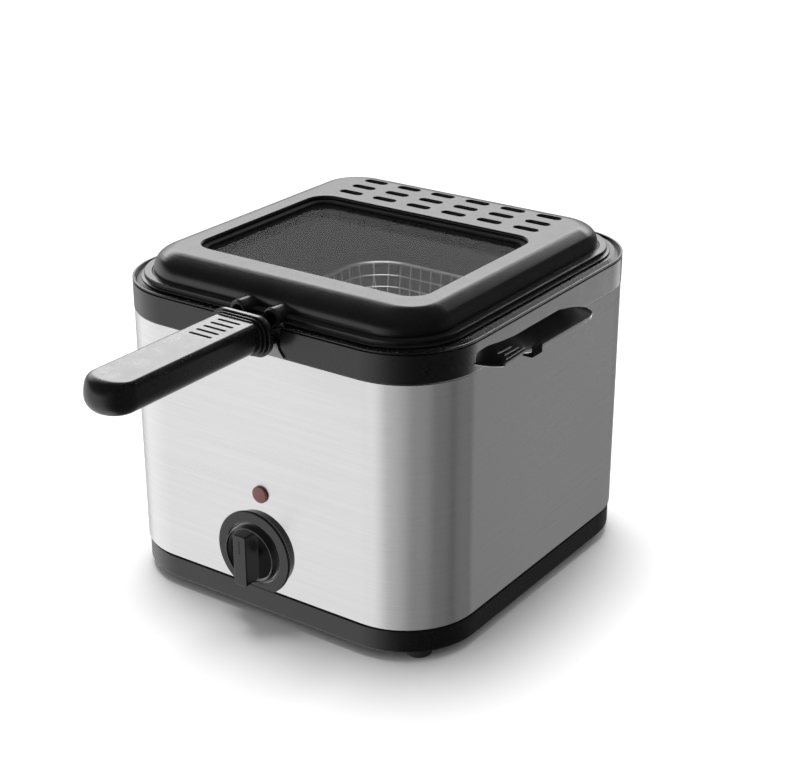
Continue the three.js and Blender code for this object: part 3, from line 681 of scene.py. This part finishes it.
def wing_section(y):
    """One section of the grip: an upright outer face and a top that hollows up to the wall."""
    reach, top, bottom, rise = between_sections(y)
    inner = WING_WALL - 0.5
    out = WING_WALL + reach
    points = [(inner, bottom + 0.3), (out - 0.5, bottom), (out, bottom + 0.4), (out, top - 0.45),
              (out - 0.15, top - 0.15), (out - 0.5, top)]
    steps = 10
    for i in range(1, steps + 1):
        share = i / steps
        points.append((out - 0.5 + (inner - out + 0.5) * share, top + rise * share ** WING_HOLLOW))
    return [(x, CENTRE_Y + y, z) for x, z in points]


# Each rib on the grip's front part: how far in from the outer face, and where it starts and ends.
RIBS = [(1.2, -54, -36), (2.7, -53, -39), (4.2, -57, -44)]
RIB_RADIUS = 0.4
RIB_STEPS = 12


def rib_path(inset, start, end):
    """A line that follows the grip's hollow top."""
    path = []
    for i in range(RIB_STEPS + 1):
        y = start + (end - start) * i / RIB_STEPS
        reach, top, _, rise = between_sections(y)
        height = top + rise * ((inset - 0.5) / WING_REACH) ** WING_HOLLOW
        path.append((WING_WALL + reach - inset, CENTRE_Y + y, height + 0.15))
    return path


def make_grip_post():
    """The upright block that joins the grip's two parts, just proud of its outer face."""
    near, far = WING_WALL + 0.6, WING_WALL + WING_REACH + 0.6
    front, back = -30.5, -19.5
    outline = [(near, front, 1.5), (far, front, 1.5), (far, back, 1.5), (near, back, 1.5)]
    return move(slab("post", outline, 153.3, 159, 0.5), y=CENTRE_Y)


def make_side_grip(side):
    """A wing on the collar's side, the ribs on its front part and its short post."""
    front, back = WING_SECTIONS[0][0], WING_SECTIONS[-1][0]
    spacing = (back - front) / WING_STATIONS
    sections = [wing_section(front + spacing * i) for i in range(WING_STATIONS + 1)]
    wing = skinned("wing", sections, smooth=35)
    ribs = [wires("rib", [rib_path(*rib)], RIB_RADIUS, 8) for rib in RIBS]
    hand = "right" if side > 0 else "left"
    for piece, name, finish in (
        (wing, "side_grip_", "low_sheen_black"),
        (make_grip_post(), "grip_post_", "low_sheen_black"),
        (join("ribs", ribs), "grip_ribs_", "black_plastic"),
    ):
        if side < 0:
            piece.data.transform(Matrix.Scale(-1, 4, (1, 0, 0)))
            clean(piece, 35)
        piece.name = name + hand
        settle(piece, "housing", FINISHES[finish], ())


POT_MOUTH = {"width": 180, "depth": 190, "radius": 25}


def make_pot():
    """The drawn oil pan: a leaning wall, a round bottom corner and a flat flange."""
    plan = Plan((POT.middle.x, POT.middle.y), POT_MOUTH["width"], POT_MOUTH["depth"], POT_MOUTH["radius"])
    bottom, top = POT.low.z, POT.high.z
    pot = sweep("oil_pot", plan, [
        (-9, bottom), (-2.2, bottom, 7), (0, top - 7), (0, top - 1, 0.8), (4.5, top - 1),
        (4.5, top), (0, top, 1.4), (-1, top - 6), (-3.2, bottom + 1.2, 6), (-10, bottom + 1.2),
    ])
    return place_piece(pot, "housing", "pot_lining", "inner_pot")


def make_dial_bezel():
    """The ring on the front wall, which flares to its face; its lower edge is cut flat above the base."""
    ring = lathe("dial_bezel_ring", [
        (22, 0.3), (23.2, 5.6, 1), (24, 6.4, 0.4), (24, 8, 0.7), (17.9, 8, 0.5),
        (17.6, 5.4, 0.3), (6, 5.4), (6, 0.3),
    ], closed=True, sides=DIAL_STEPS)
    move(ring, FRONTWARD, y=FRONT_Y, z=DIAL_Z)
    flat = slab("flat", [(-40, -30, 0), (40, -30, 0), (40, 30, 0), (-40, 30, 0)], 0, BEZEL.low.z)
    carve(ring, [move(flat, y=FRONT_Y)])
    ring.visible_glossy = False
    return place_piece(ring, "housing", "black_plastic", "dial_bezel")


def make_lamp():
    """The flat red lens over the pilot lamp, with a short spigot in the wall."""
    lens = lathe("pilot_lamp_lens", [
        (0, 0), (3.6, 0), (3.6, 0.3), (4.8, 0.3, 0.2), (4.8, 1.5, 0.6), (0, 2.0),
    ])
    move(lens, FRONTWARD, x=LAMP.middle.x, y=FRONT_Y, z=LAMP.middle.z)
    return place_piece(lens, "housing", "lamp_red", "lamp_lens")


def make_feet():
    """Four round rubber feet, each with a counterbore for its screw."""
    for i in range(1, 5):
        place = Place(f"foot_{i}")
        foot = lathe(f"rubber_foot_{i}", [
            (3.9, 0, 0.3),
            (7, 0, 1.0),
            (7, place.high.z, 0.3),
            (1.9, place.high.z),
            (1.9, 2.6),
            (3.9, 2.6, 0.2),
        ], closed=True)
        move(foot, x=place.middle.x, y=place.middle.y)
        place_piece(foot, "housing", "rubber_feet", f"foot_{i}")


def make_gland():
    """The rubber gland that a cord would leave by, clipped into the rear wall."""
    wall = GLAND.high.y - 4
    gland = lathe("rear_gland", [
        (3.5, -5, 0.4), (9, -5, 0.5), (9, -1.1), (6.4, -1.1), (6.4, 0.3), (9, 0.3, 0.4),
        (9, 2.6, 0.9), (6.2, 4, 0.6), (3.5, 4, 0.5),
    ], closed=True)
    move(gland, FRONTWARD.inverted(), x=GLAND.middle.x, y=wall, z=GLAND.middle.z)
    return place_piece(gland, "housing", "rubber_feet", "cord_gland")


# ---- control knob

def make_knob():
    """The round knob: a raised ring, a grip fin with a pointer groove, and a darker low-sheen disc on its
    face as painted shade from the fin.
    """
    skirt = lathe("skirt", [
        (0, 5.8), (16.9, 5.8, 0.3), (16.9, 8.6, 0.8), (16.1, 11.6, 0.3), (15.4, 11.6, 0.25),
        (14.9, 10.9, 0.3), (14.7, 8.3, 0.3), (0, 8.3),
    ], sides=DIAL_STEPS)
    # Painted shade: this darker, low-sheen disc lies over the knob's face where the fin darkens it.
    shade_disc = lathe("dial_dish", [(0, 8.1), (14.5, 8.1), (14.5, 8.6, 0.1), (0, 8.6)], sides=DIAL_STEPS)
    fin = slab("fin", [(-4.5, -15, 2.2), (4.2, -15, 2.2), (4.2, 15, 1.2), (-4.5, 15, 1.2)], 8, 19, 0.6)
    mark = slab("mark", [(-0.45, 4, 0.4), (0.45, 4, 0.4), (0.45, 12, 0.4), (-0.45, 12, 0.4)], 18.4, 22)
    carve(fin, [mark])
    knob = join("dial_knob", [skirt, fin])
    for piece in (knob, shade_disc):
        move(piece, FRONTWARD, y=FRONT_Y, z=DIAL_Z)
        piece.visible_glossy = False
    settle(shade_disc, "control", FINISHES["low_sheen_black"], ())
    return place_piece(knob, "control", "knob_black", "control_knob")


# ---- basket

BASKET_RADIUS = 28
WIRE = 0.45
MESH_PITCH = 7.4


def basket_offset(z):
    """How far the basket's wall leans in at a height."""
    share = (RIM.middle.z - z) / (RIM.middle.z - BASKET.low.z)
    return -0.9 - 5.6 * share


def basket_plan():
    """The line that the middle of the rim wire follows."""
    return Plan((RIM.middle.x, RIM.middle.y), RIM.size.x - 3.2, RIM.size.y - 3.2, BASKET_RADIUS)


def side_reach(half, other_half, along, offset):
    """How far out the basket's wall is, at a distance `along` the other axis."""
    radius = BASKET_RADIUS + offset
    past = abs(along) - (other_half - BASKET_RADIUS)
    if past <= 0:
        return half + offset
    if past >= radius:
        return None
    return half - BASKET_RADIUS + math.sqrt(radius * radius - past * past)


def basket_strand(half, other_half, along, lift):
    """A wire that runs down one wall, across the floor and up the other wall."""
    top, bottom = RIM.middle.z - 0.6, BASKET.low.z + 1.0 + lift
    wall = []
    for i in range(7):
        z = top + (bottom + 5 - top) * i / 6
        reach = side_reach(half, other_half, along, basket_offset(z))
        if reach is None:
            return None
        wall.append((reach, z))
    foot = wall[-1][0]
    for i in range(1, 5):
        angle = i / 4 * math.pi / 2
        wall.append((foot - 5 * (1 - math.cos(angle)) - 0.4, bottom + 5 - 5 * math.sin(angle)))
    floor = [(foot * k / 3, bottom) for k in (2, 1)]
    half_path = wall + floor
    return half_path + [(0, bottom)] + [(-x, z) for x, z in reversed(half_path)]


def make_basket_mesh():
    """The woven basket: strands both ways over walls and floor, and level hoops round the walls."""
    plan = basket_plan()
    half_x, half_y = plan.half_width, plan.half_depth
    paths = []
    count_y = int(half_y / MESH_PITCH)
    for k in range(-count_y, count_y + 1):
        strand = basket_strand(half_x, half_y, k * MESH_PITCH, 0)
        if strand:
            paths.append([(plan.x + x, plan.y + k * MESH_PITCH, z) for x, z in strand])
    count_x = int(half_x / MESH_PITCH)
    for k in range(-count_x, count_x + 1):
        strand = basket_strand(half_y, half_x, k * MESH_PITCH, WIRE * 1.6)
        if strand:
            paths.append([(plan.x + k * MESH_PITCH, plan.y + y, z) for y, z in strand])
    cloth = wires("mesh_strands", paths, WIRE, 5)
    hoops = []
    z = RIM.middle.z - MESH_PITCH
    while z > BASKET.low.z + 6:
        hoops.append(plan.ring(basket_offset(z) - WIRE * 1.4, z, 8))
        z -= MESH_PITCH
    rings = wires("mesh_hoops", hoops, WIRE, 5, closed=True)
    basket = join("wire_mesh", [cloth, rings], 60)
    return place_piece(basket, "basket", "basket_wire", "basket_mesh")


def make_basket_rim():
    """The thick wire round the basket's mouth."""
    ring = basket_plan().ring(0, RIM.middle.z, 14)
    rim = wires("rim_wire", [ring], 1.1, 14, closed=True)
    return place_piece(rim, "basket", "basket_wire", "basket_rim")


HOOK_TOP = 167.8
HOOK_THICK = 2.0
PLATE_THICK = 0.3

# Turns a side view drawn as (along Y, up) and raised along Z into place, its thickness along X.
SIDEWAYS = Matrix(((0, 0, 1, 0), (1, 0, 0, 0), (0, 1, 0, 0), (0, 0, 0, 1)))


def make_hook():
    """A bent strip from the basket over the pot's flange, ending in a flared plate."""
    back = RIM.low.y - 0.4
    front = COLLAR_FRONT_Y - 0.4
    over = HOOK_TOP - HOOK_THICK
    side_view = [
        (back, HOOK.low.z, 0), (back, HOOK_TOP, 3), (front - 2, HOOK_TOP, 0),
        (front - 2, over, 0), (back - 2, over, 1.2), (back - 2, HOOK.low.z, 0),
    ]
    strip = slab("strip", side_view, -15, 15, 0.3)
    strip.data.transform(SIDEWAYS)
    clean(strip)
    plate = slab("plate", [
        (-20, COLLAR_BOTTOM + 0.2, 0.6), (20, COLLAR_BOTTOM + 0.2, 0.6), (16.6, 162, 5),
        (15, 167, 4), (15, 171, 1), (-15, 171, 1), (-15, 167, 4), (-16.6, 162, 5),
    ], 0, PLATE_THICK, 0.08)
    move(plate, FRONTWARD, y=COLLAR_FRONT_Y - 0.15)
    tongue = slab("tongue", [(-8, -150 + CENTRE_Y, 2), (8, -150 + CENTRE_Y, 2),
                             (8, front - 1, 0), (-8, front - 1, 0)], 169, 171, 0.3)
    hook = join("hook_strip", [strip, plate, tongue])
    return place_piece(hook, "basket", "plated_steel", "basket_hook")


def flange_plate(name, half_width, height, radius, out0, out1, edge):
    """A rounded plate square to the handle, from out0 to out1 in front of the collar's face."""
    plan = Plan((0, 0), 2 * half_width, height, radius)
    profile = [(-3, out0), (0, out0, edge), (0, out1, edge), (-3, out1)]
    return sweep(name, plan, profile, False, 4)


def make_flange():
    """The handle's stepped root: plates and grooves, one in front of the other."""
    steps = [
        ("back", 13, 15.5, 6, 2.8, 8.0, 0.4),
        ("wide", 19.2, 21.7, 9, 7.4, 10.2, 0.45),
        ("groove", 16.0, 18.6, 7.4, 10.0, 11.2, 0.1),
        ("step", 17.6, 20.0, 8.2, 10.9, 12.0, 0.35),
        ("inner_groove", 15.0, 17.6, 7, 11.8, 12.8, 0.1),
        ("front", 16.2, 18.6, 7.4, 12.6, 13.7, 0.35),
    ]
    flange = join("flange_rings", [flange_plate(*step) for step in steps])
    move(flange, FRONTWARD, y=COLLAR_FRONT_Y, z=GRIP.middle.z)
    return place_piece(flange, "basket", "black_plastic", "handle_flange")


# The finger grooves across the top of the handle, at its root.
GROOVE = {"count": 5, "from_root": 4.5, "pitch": 5.4, "length": 14.4, "width": 2.0, "depth": 1.4}


def quarter(radius, rise):
    """How far a round edge has turned in at a height `rise` above the start of its curve."""
    share = min(max(rise / radius, 0), 1)
    return 1 - math.sqrt(1 - share * share)


def make_grip():
    """The handle: flat on top, crisp upper edges, a round underside and a tip like half a ball."""
    half = GRIP.size.x / 2
    start = GRIP.high.y
    tip_centre = GRIP.low.y + half
    bottom, top = GRIP.low.z, GRIP.high.z
    middle = (bottom + top) / 2
    top_edge, under_edge, tip_edge = 3.2, 7.5, 8.2
    half_height = (top - bottom) / 2
    rings = []
    steps = 44
    for i in range(steps + 1):
        z = middle - half_height * math.cos(i / steps * math.pi)
        side = top_edge * quarter(top_edge, z - (top - top_edge))
        side += under_edge * quarter(under_edge, bottom + under_edge - z)
        tip = tip_edge * quarter(half_height, abs(z - middle))
        across, along = half - side, half - tip
        arc = [(across * math.cos(a), tip_centre + along * math.sin(a), z)
               for a in (math.pi + math.pi * k / 44 for k in range(45))]
        rings.append([(across, start, z), (-across, start, z), *arc])
    grip = skinned("handle_bar", rings)
    grooves = []
    for i in range(GROOVE["count"]):
        y = start - GROOVE["from_root"] - GROOVE["pitch"] * i
        floor = top - GROOVE["depth"]
        grooves.append(capsule_cutter(0, y, GROOVE["length"], GROOVE["width"], floor, top + 1.6))
    return place_piece(carve(grip, grooves), "basket", "black_plastic", "handle_grip")


# ---- lid

LID_RADIUS = 30
LID_DEPTH = 200
LID_SIDE_SHARE = 0.68
BOSS = {"x": 10.7, "z": 177.5}
WINDOW = {"width": 147.4, "depth": 114.5, "radius": 12}
VENT = {"columns": 6, "rows": 3, "pitch_x": 24.1, "pitch_y": 12.8, "length": 14.8, "width": 4.5}


def lid_plan():
    """The lid's upright wall; its shoulder leans in less at the sides than at the front and back."""
    width = LID.size.x - 12
    back = LID.high.y - 6
    return Plan((LID.middle.x, back - LID_DEPTH / 2), width, LID_DEPTH, LID_RADIUS, LID_SIDE_SHARE)


# The lid's shoulder, from its wall up to its flat top: how far in, and how far below the top.
LID_SHOULDER = [(0, 12.5), (-0.3, 10), (-1.1, 7.4), (-2.6, 5.2), (-4.6, 3.5), (-7, 2.2), (-9.5, 1.25),
                (-12, 0.55), (-14, 0.18), (-15.5, 0)]


def lid_fillet():
    """The shoulder's points, each rounded so that the bends run into each other."""
    return [(inset, LID.high.z - drop, 9 if 0 < drop < 12 else 5) for inset, drop in LID_SHOULDER]


def window_plan(grow=0):
    """The window's opening, or a rounded rectangle that much larger all round."""
    middle = (GLASS.middle.x, GLASS.middle.y)
    radius = WINDOW["radius"] + grow
    return Plan(middle, WINDOW["width"] + 2 * grow, WINDOW["depth"] + 2 * grow, radius)


def vent_places():
    """The middle of each steam slot."""
    middle_y = PAD.middle.y
    for row in range(VENT["rows"]):
        for column in range(VENT["columns"]):
            x = (column - (VENT["columns"] - 1) / 2) * VENT["pitch_x"]
            yield x, middle_y + (row - (VENT["rows"] - 1) / 2) * VENT["pitch_y"]


def make_lid():
    """The lid's shell with its window opening and steam slots, and the two hollow bosses at its front."""
    top = LID.high.z
    flange = COLLAR_TOP + 0.3
    shell = sweep("lid_cap", lid_plan(), [
        (-14, top - 2.2), (-5, top - 2.2, 7), (-5, flange - 4.8), (-3, flange - 4.8),
        (-3, flange), (6.8, flange, 0.25), (6.8, flange + 0.7, 0.3), (5, flange + 1.0, 0.2),
        (5, flange + 3.3, 0.55), (0.9, flange + 3.3, 0.8),
        *lid_fillet(),
        (-16, top),
    ], fillet_steps=6)
    opening = sweep("opening", window_plan(), [
        (0, top - 20), (0, top - 0.9, 0.7), (1.4, top + 0.9),
    ], fillet_steps=4)
    vents = [capsule_cutter(x, y, VENT["length"], VENT["width"], top - 6, top + 0.7, 0.35)
             for x, y in vent_places()]
    carve(shell, [opening, *vents])
    bosses = []
    for side in (-1, 1):
        boss = lathe("boss", [
            (0, -16), (5.2, -16), (5.7, -2.2), (5.7, -1.2, 0.3), (5.1, -1.0, 0.2), (5.1, 0, 0.5),
            (3.4, 0, 0.4), (3.3, -6.5), (0, -6.5),
        ])
        bosses.append(move(boss, FRONTWARD, x=side * BOSS["x"], y=LID.low.y, z=BOSS["z"]))
    lid = join("lid_cap", [shell, *bosses])
    return place_piece(lid, "lid", "lid_black", "lid_shell")


def make_window():
    """The glass, the seal round it and the frame that holds both from below."""
    gasket = sweep("window_seal", window_plan(), [
        (3.5, GASKET.low.z), (3.5, GASKET.high.z), (-3, GASKET.high.z, 0.5), (-3, GASKET.low.z, 0.2),
    ], closed=True)
    place_piece(gasket, "lid", "silicone", "window_gasket")
    pane = sweep("window_pane", window_plan(3.5), [
        (-1, GLASS.low.z), (0, GLASS.low.z, 0.4), (0, GLASS.high.z, 0.4), (-1, GLASS.high.z),
    ])
    place_piece(pane, "lid", "window_glass", "window_glass")
    low, high, width = FRAME.low.z, FRAME.high.z, 14.3
    retainer = sweep("window_retainer", Plan.of(FRAME, 16), [
        (0, low, 0.5), (0, high, 0.5), (-width, high, 0.5), (-width, low, 0.5),
    ], closed=True)
    place_piece(retainer, "lid", "black_plastic", "window_frame")


# ---- CAD nodes that stay as they are

def dress_cad_nodes():
    """Gives each CAD node that still shows the finish of its slot."""
    for part in frame["record"]["subparts"]:
        node = frame["nodes"][part["node"]]
        if node.hide_render:
            continue
        node.data.materials.clear()
        node.data.materials.append(FINISHES[part["material_slot"]])


# ---- camera, floor and light

CAMERA_PLACE_M = (0.52382, -0.67940, 0.48873)
CAMERA_TILT, CAMERA_TURN = 66.39, 34.79
FOCAL_LENGTH = 78.25
FRAME_SHIFT = (-0.0082, 0.0028)
FLOOR_REACH_M = 40


def make_camera():
    """A three-quarter view: 35 degrees round to the right and 24 degrees down."""
    lens = bpy.data.cameras.new("camera")
    lens.sensor_width = 36
    lens.lens = FOCAL_LENGTH
    lens.shift_x, lens.shift_y = FRAME_SHIFT
    lens.clip_start = 0.01
    camera = show("camera", lens)
    camera.location = CAMERA_PLACE_M
    camera.rotation_euler = (math.radians(CAMERA_TILT), 0, math.radians(CAMERA_TURN))
    bpy.context.scene.camera = camera


def make_floor():
    """A square table top, so large that its edge is never seen."""
    corners = [(x * FLOOR_REACH_M, y * FLOOR_REACH_M, 0) for x, y in ((-1, -1), (1, -1), (1, 1), (-1, 1))]
    mesh = bpy.data.meshes.new("floor")
    mesh.from_pydata(corners, [], [(0, 1, 2, 3)])
    mesh.materials.append(pale_floor("floor"))
    floor = show("floor", mesh)
    floor.visible_glossy = False


def heading(azimuth, elevation):
    """A direction from two angles in degrees; azimuth turns from +X towards +Y."""
    turn, rise = math.radians(azimuth), math.radians(elevation)
    return Vector((math.cos(turn) * math.cos(rise), math.sin(turn) * math.cos(rise), math.sin(rise)))


def add_card(name, azimuth, elevation, half_angle, radiance, receivers=None, blockers=None):
    """A distant round card of light, drawn as a wide sun; with receivers, only those pieces see it."""
    data = bpy.data.lights.new(name, "SUN")
    data.angle = 2 * math.radians(half_angle)
    data.energy = radiance * math.pi * math.sin(math.radians(half_angle)) ** 2
    card = show(name, data)
    card.rotation_euler = (-heading(azimuth, elevation)).to_track_quat("-Z", "Y").to_euler()
    card.visible_glossy = receivers is not None
    card.light_linking.receiver_collection = receivers
    card.light_linking.blocker_collection = blockers


def group(name, *pieces):
    """A collection that a card's light can be limited to."""
    made = bpy.data.collections.new(name)
    for piece in pieces:
        made.objects.link(piece)
    return made


def fade(tree, value, start, end, low, high):
    """A soft change from low to high as a value goes from start to end."""
    made = tree.nodes.new("ShaderNodeMapRange")
    made.interpolation_type = "SMOOTHSTEP"
    tree.links.new(value, made.inputs["Value"])
    for key, number in (("From Min", start), ("From Max", end), ("To Min", low), ("To Max", high)):
        made.inputs[key].default_value = number
    return made.outputs["Result"]


def combine(tree, operation, one, other):
    """One arithmetic step between sockets or numbers."""
    made = tree.nodes.new("ShaderNodeMath")
    made.operation = operation
    for socket, value in zip(made.inputs, (one, other)):
        if isinstance(value, bpy.types.NodeSocket):
            tree.links.new(value, socket)
        else:
            socket.default_value = value
    return made.outputs[0]


def level_ramp(tree, value, low, high, stops):
    """Brightness along a value that runs from low to high, from (value, level) stops."""
    share = tree.nodes.new("ShaderNodeMapRange")
    tree.links.new(value, share.inputs["Value"])
    share.inputs["From Min"].default_value = low
    share.inputs["From Max"].default_value = high
    ramp = tree.nodes.new("ShaderNodeValToRGB")
    tree.links.new(share.outputs["Result"], ramp.inputs["Fac"])
    elements = ramp.color_ramp.elements
    while len(elements) < len(stops):
        elements.new(0.5)
    brightest = max(level for _, level in stops)
    for element, (place, level) in zip(elements, stops):
        element.position = (place - low) / (high - low)
        element.color = (*grey(level / brightest), 1)
    return combine(tree, "MULTIPLY", ramp.outputs["Color"], brightest)


# Wall brightness by azimuth, the heights (as sines) between which the walls fade out, and the
# brightness of the window by elevation.
WALLS = [(-180, 1.15), (-145, 1.05), (-114, 0.96), (-98, 0.72), (-78, 0.2), (-55, 0.02), (10, 0.01),
         (50, 0.08), (90, 0.12), (130, 0.14), (160, 0.75), (180, 1.15)]
WALL_TOP = (math.sin(math.radians(8)), math.sin(math.radians(30)))
WINDOW_AZIMUTH = 122
WINDOW_LEVELS = [(4, 0.3), (12, 1.0), (17, 1.75), (20, 2.5), (22, 3.8), (24, 4.8), (27, 4.8), (33, 0.0)]
CEILING = 0.012


def studio_world():
    """A studio seen in reflections: walls that vary by azimuth, a dark ceiling and one bright window."""
    world = bpy.data.worlds.new("studio")
    bpy.context.scene.world = world
    world.use_nodes = True
    tree = world.node_tree
    place = tree.nodes.new("ShaderNodeTexCoord").outputs["Generated"]
    parts = tree.nodes.new("ShaderNodeSeparateXYZ")
    tree.links.new(place, parts.inputs[0])
    turn = combine(tree, "ARCTAN2", parts.outputs["Y"], parts.outputs["X"])
    level = level_ramp(tree, turn, -math.pi, math.pi, [(math.radians(a), v) for a, v in WALLS])
    height = parts.outputs["Z"]
    share = fade(tree, height, *WALL_TOP, 1, 0)
    total = combine(tree, "ADD", combine(tree, "MULTIPLY", level, share), CEILING)
    dot = tree.nodes.new("ShaderNodeVectorMath")
    dot.operation = "DOT_PRODUCT"
    tree.links.new(place, dot.inputs[0])
    dot.inputs[1].default_value = heading(WINDOW_AZIMUTH, 27)
    inside = fade(tree, dot.outputs["Value"], math.cos(math.radians(46)), math.cos(math.radians(26)), 0, 1)
    panes = level_ramp(tree, height, 0, 1, [(math.sin(math.radians(e)), v) for e, v in WINDOW_LEVELS])
    total = combine(tree, "ADD", total, combine(tree, "MULTIPLY", inside, panes))
    tree.links.new(total, tree.nodes["Background"].inputs["Color"])


# The azimuth and the radiance of the low cards that only the steel case sees.
STEEL_CARDS = [(-80, 0.25), (-50, 0.21), (-20, 0.125), (10, 0.075), (45, 0.08), (80, 0.105)]

# The pieces that throw no shadow from the two main cards.
NO_SHADOW = ("handle_bar", "flange_rings")


def make_light():
    """Two main cards from above, the studio, and cards that light one group of pieces each."""
    def pieces(*names):
        return [bpy.data.objects[name] for name in names]

    meshes = [piece for piece in bpy.data.objects if piece.type == "MESH"]
    casters = group("shadow_casters", *(piece for piece in meshes if piece.name not in NO_SHADOW))
    add_card("key", 138, 80, 14, 14.6, None, casters)
    add_card("overhead", 90, 88, 70, 0.48, None, casters)
    studio_world()
    # Only the camera, which has no surface, may block these cards, so nothing shades them.
    unshaded = group("nothing_casts", *pieces("camera"))
    steel = group("steel_only", *pieces("case_shell"))
    sides = group("collar_only", *pieces("collar_ring", "grip_ribs_left", "grip_ribs_right"))
    grips = group("grips_only", *pieces("side_grip_left", "side_grip_right"))
    handle = group("handle_only", *pieces("handle_bar", "flange_rings"))
    wire = group("basket_only", *pieces("wire_mesh", "rim_wire"))
    for azimuth, level in STEEL_CARDS:
        add_card(f"steel_card_{azimuth}", azimuth, -15, 30, level, steel, unshaded)
    add_card("collar_card", 74, -44, 30, 2.0, sides, unshaded)
    add_card("grip_card", 74, -44, 30, 9.0, grips, unshaded)
    add_card("handle_card", 133, 25, 10, 2.4, handle, unshaded)
    add_card("basket_card", -60, 45, 40, 2.4, wire, unshaded)


make_camera()
make_base()
make_case()
make_collar()
for grip_side in (-1, 1):
    make_side_grip(grip_side)
make_pot()
make_dial_bezel()
make_lamp()
make_feet()
make_gland()
make_knob()
make_basket_mesh()
make_basket_rim()
make_hook()
make_flange()
make_grip()
make_lid()
make_window()
dress_cad_nodes()
make_floor()
make_light()

bpy.context.scene.view_settings.view_transform = "Standard"
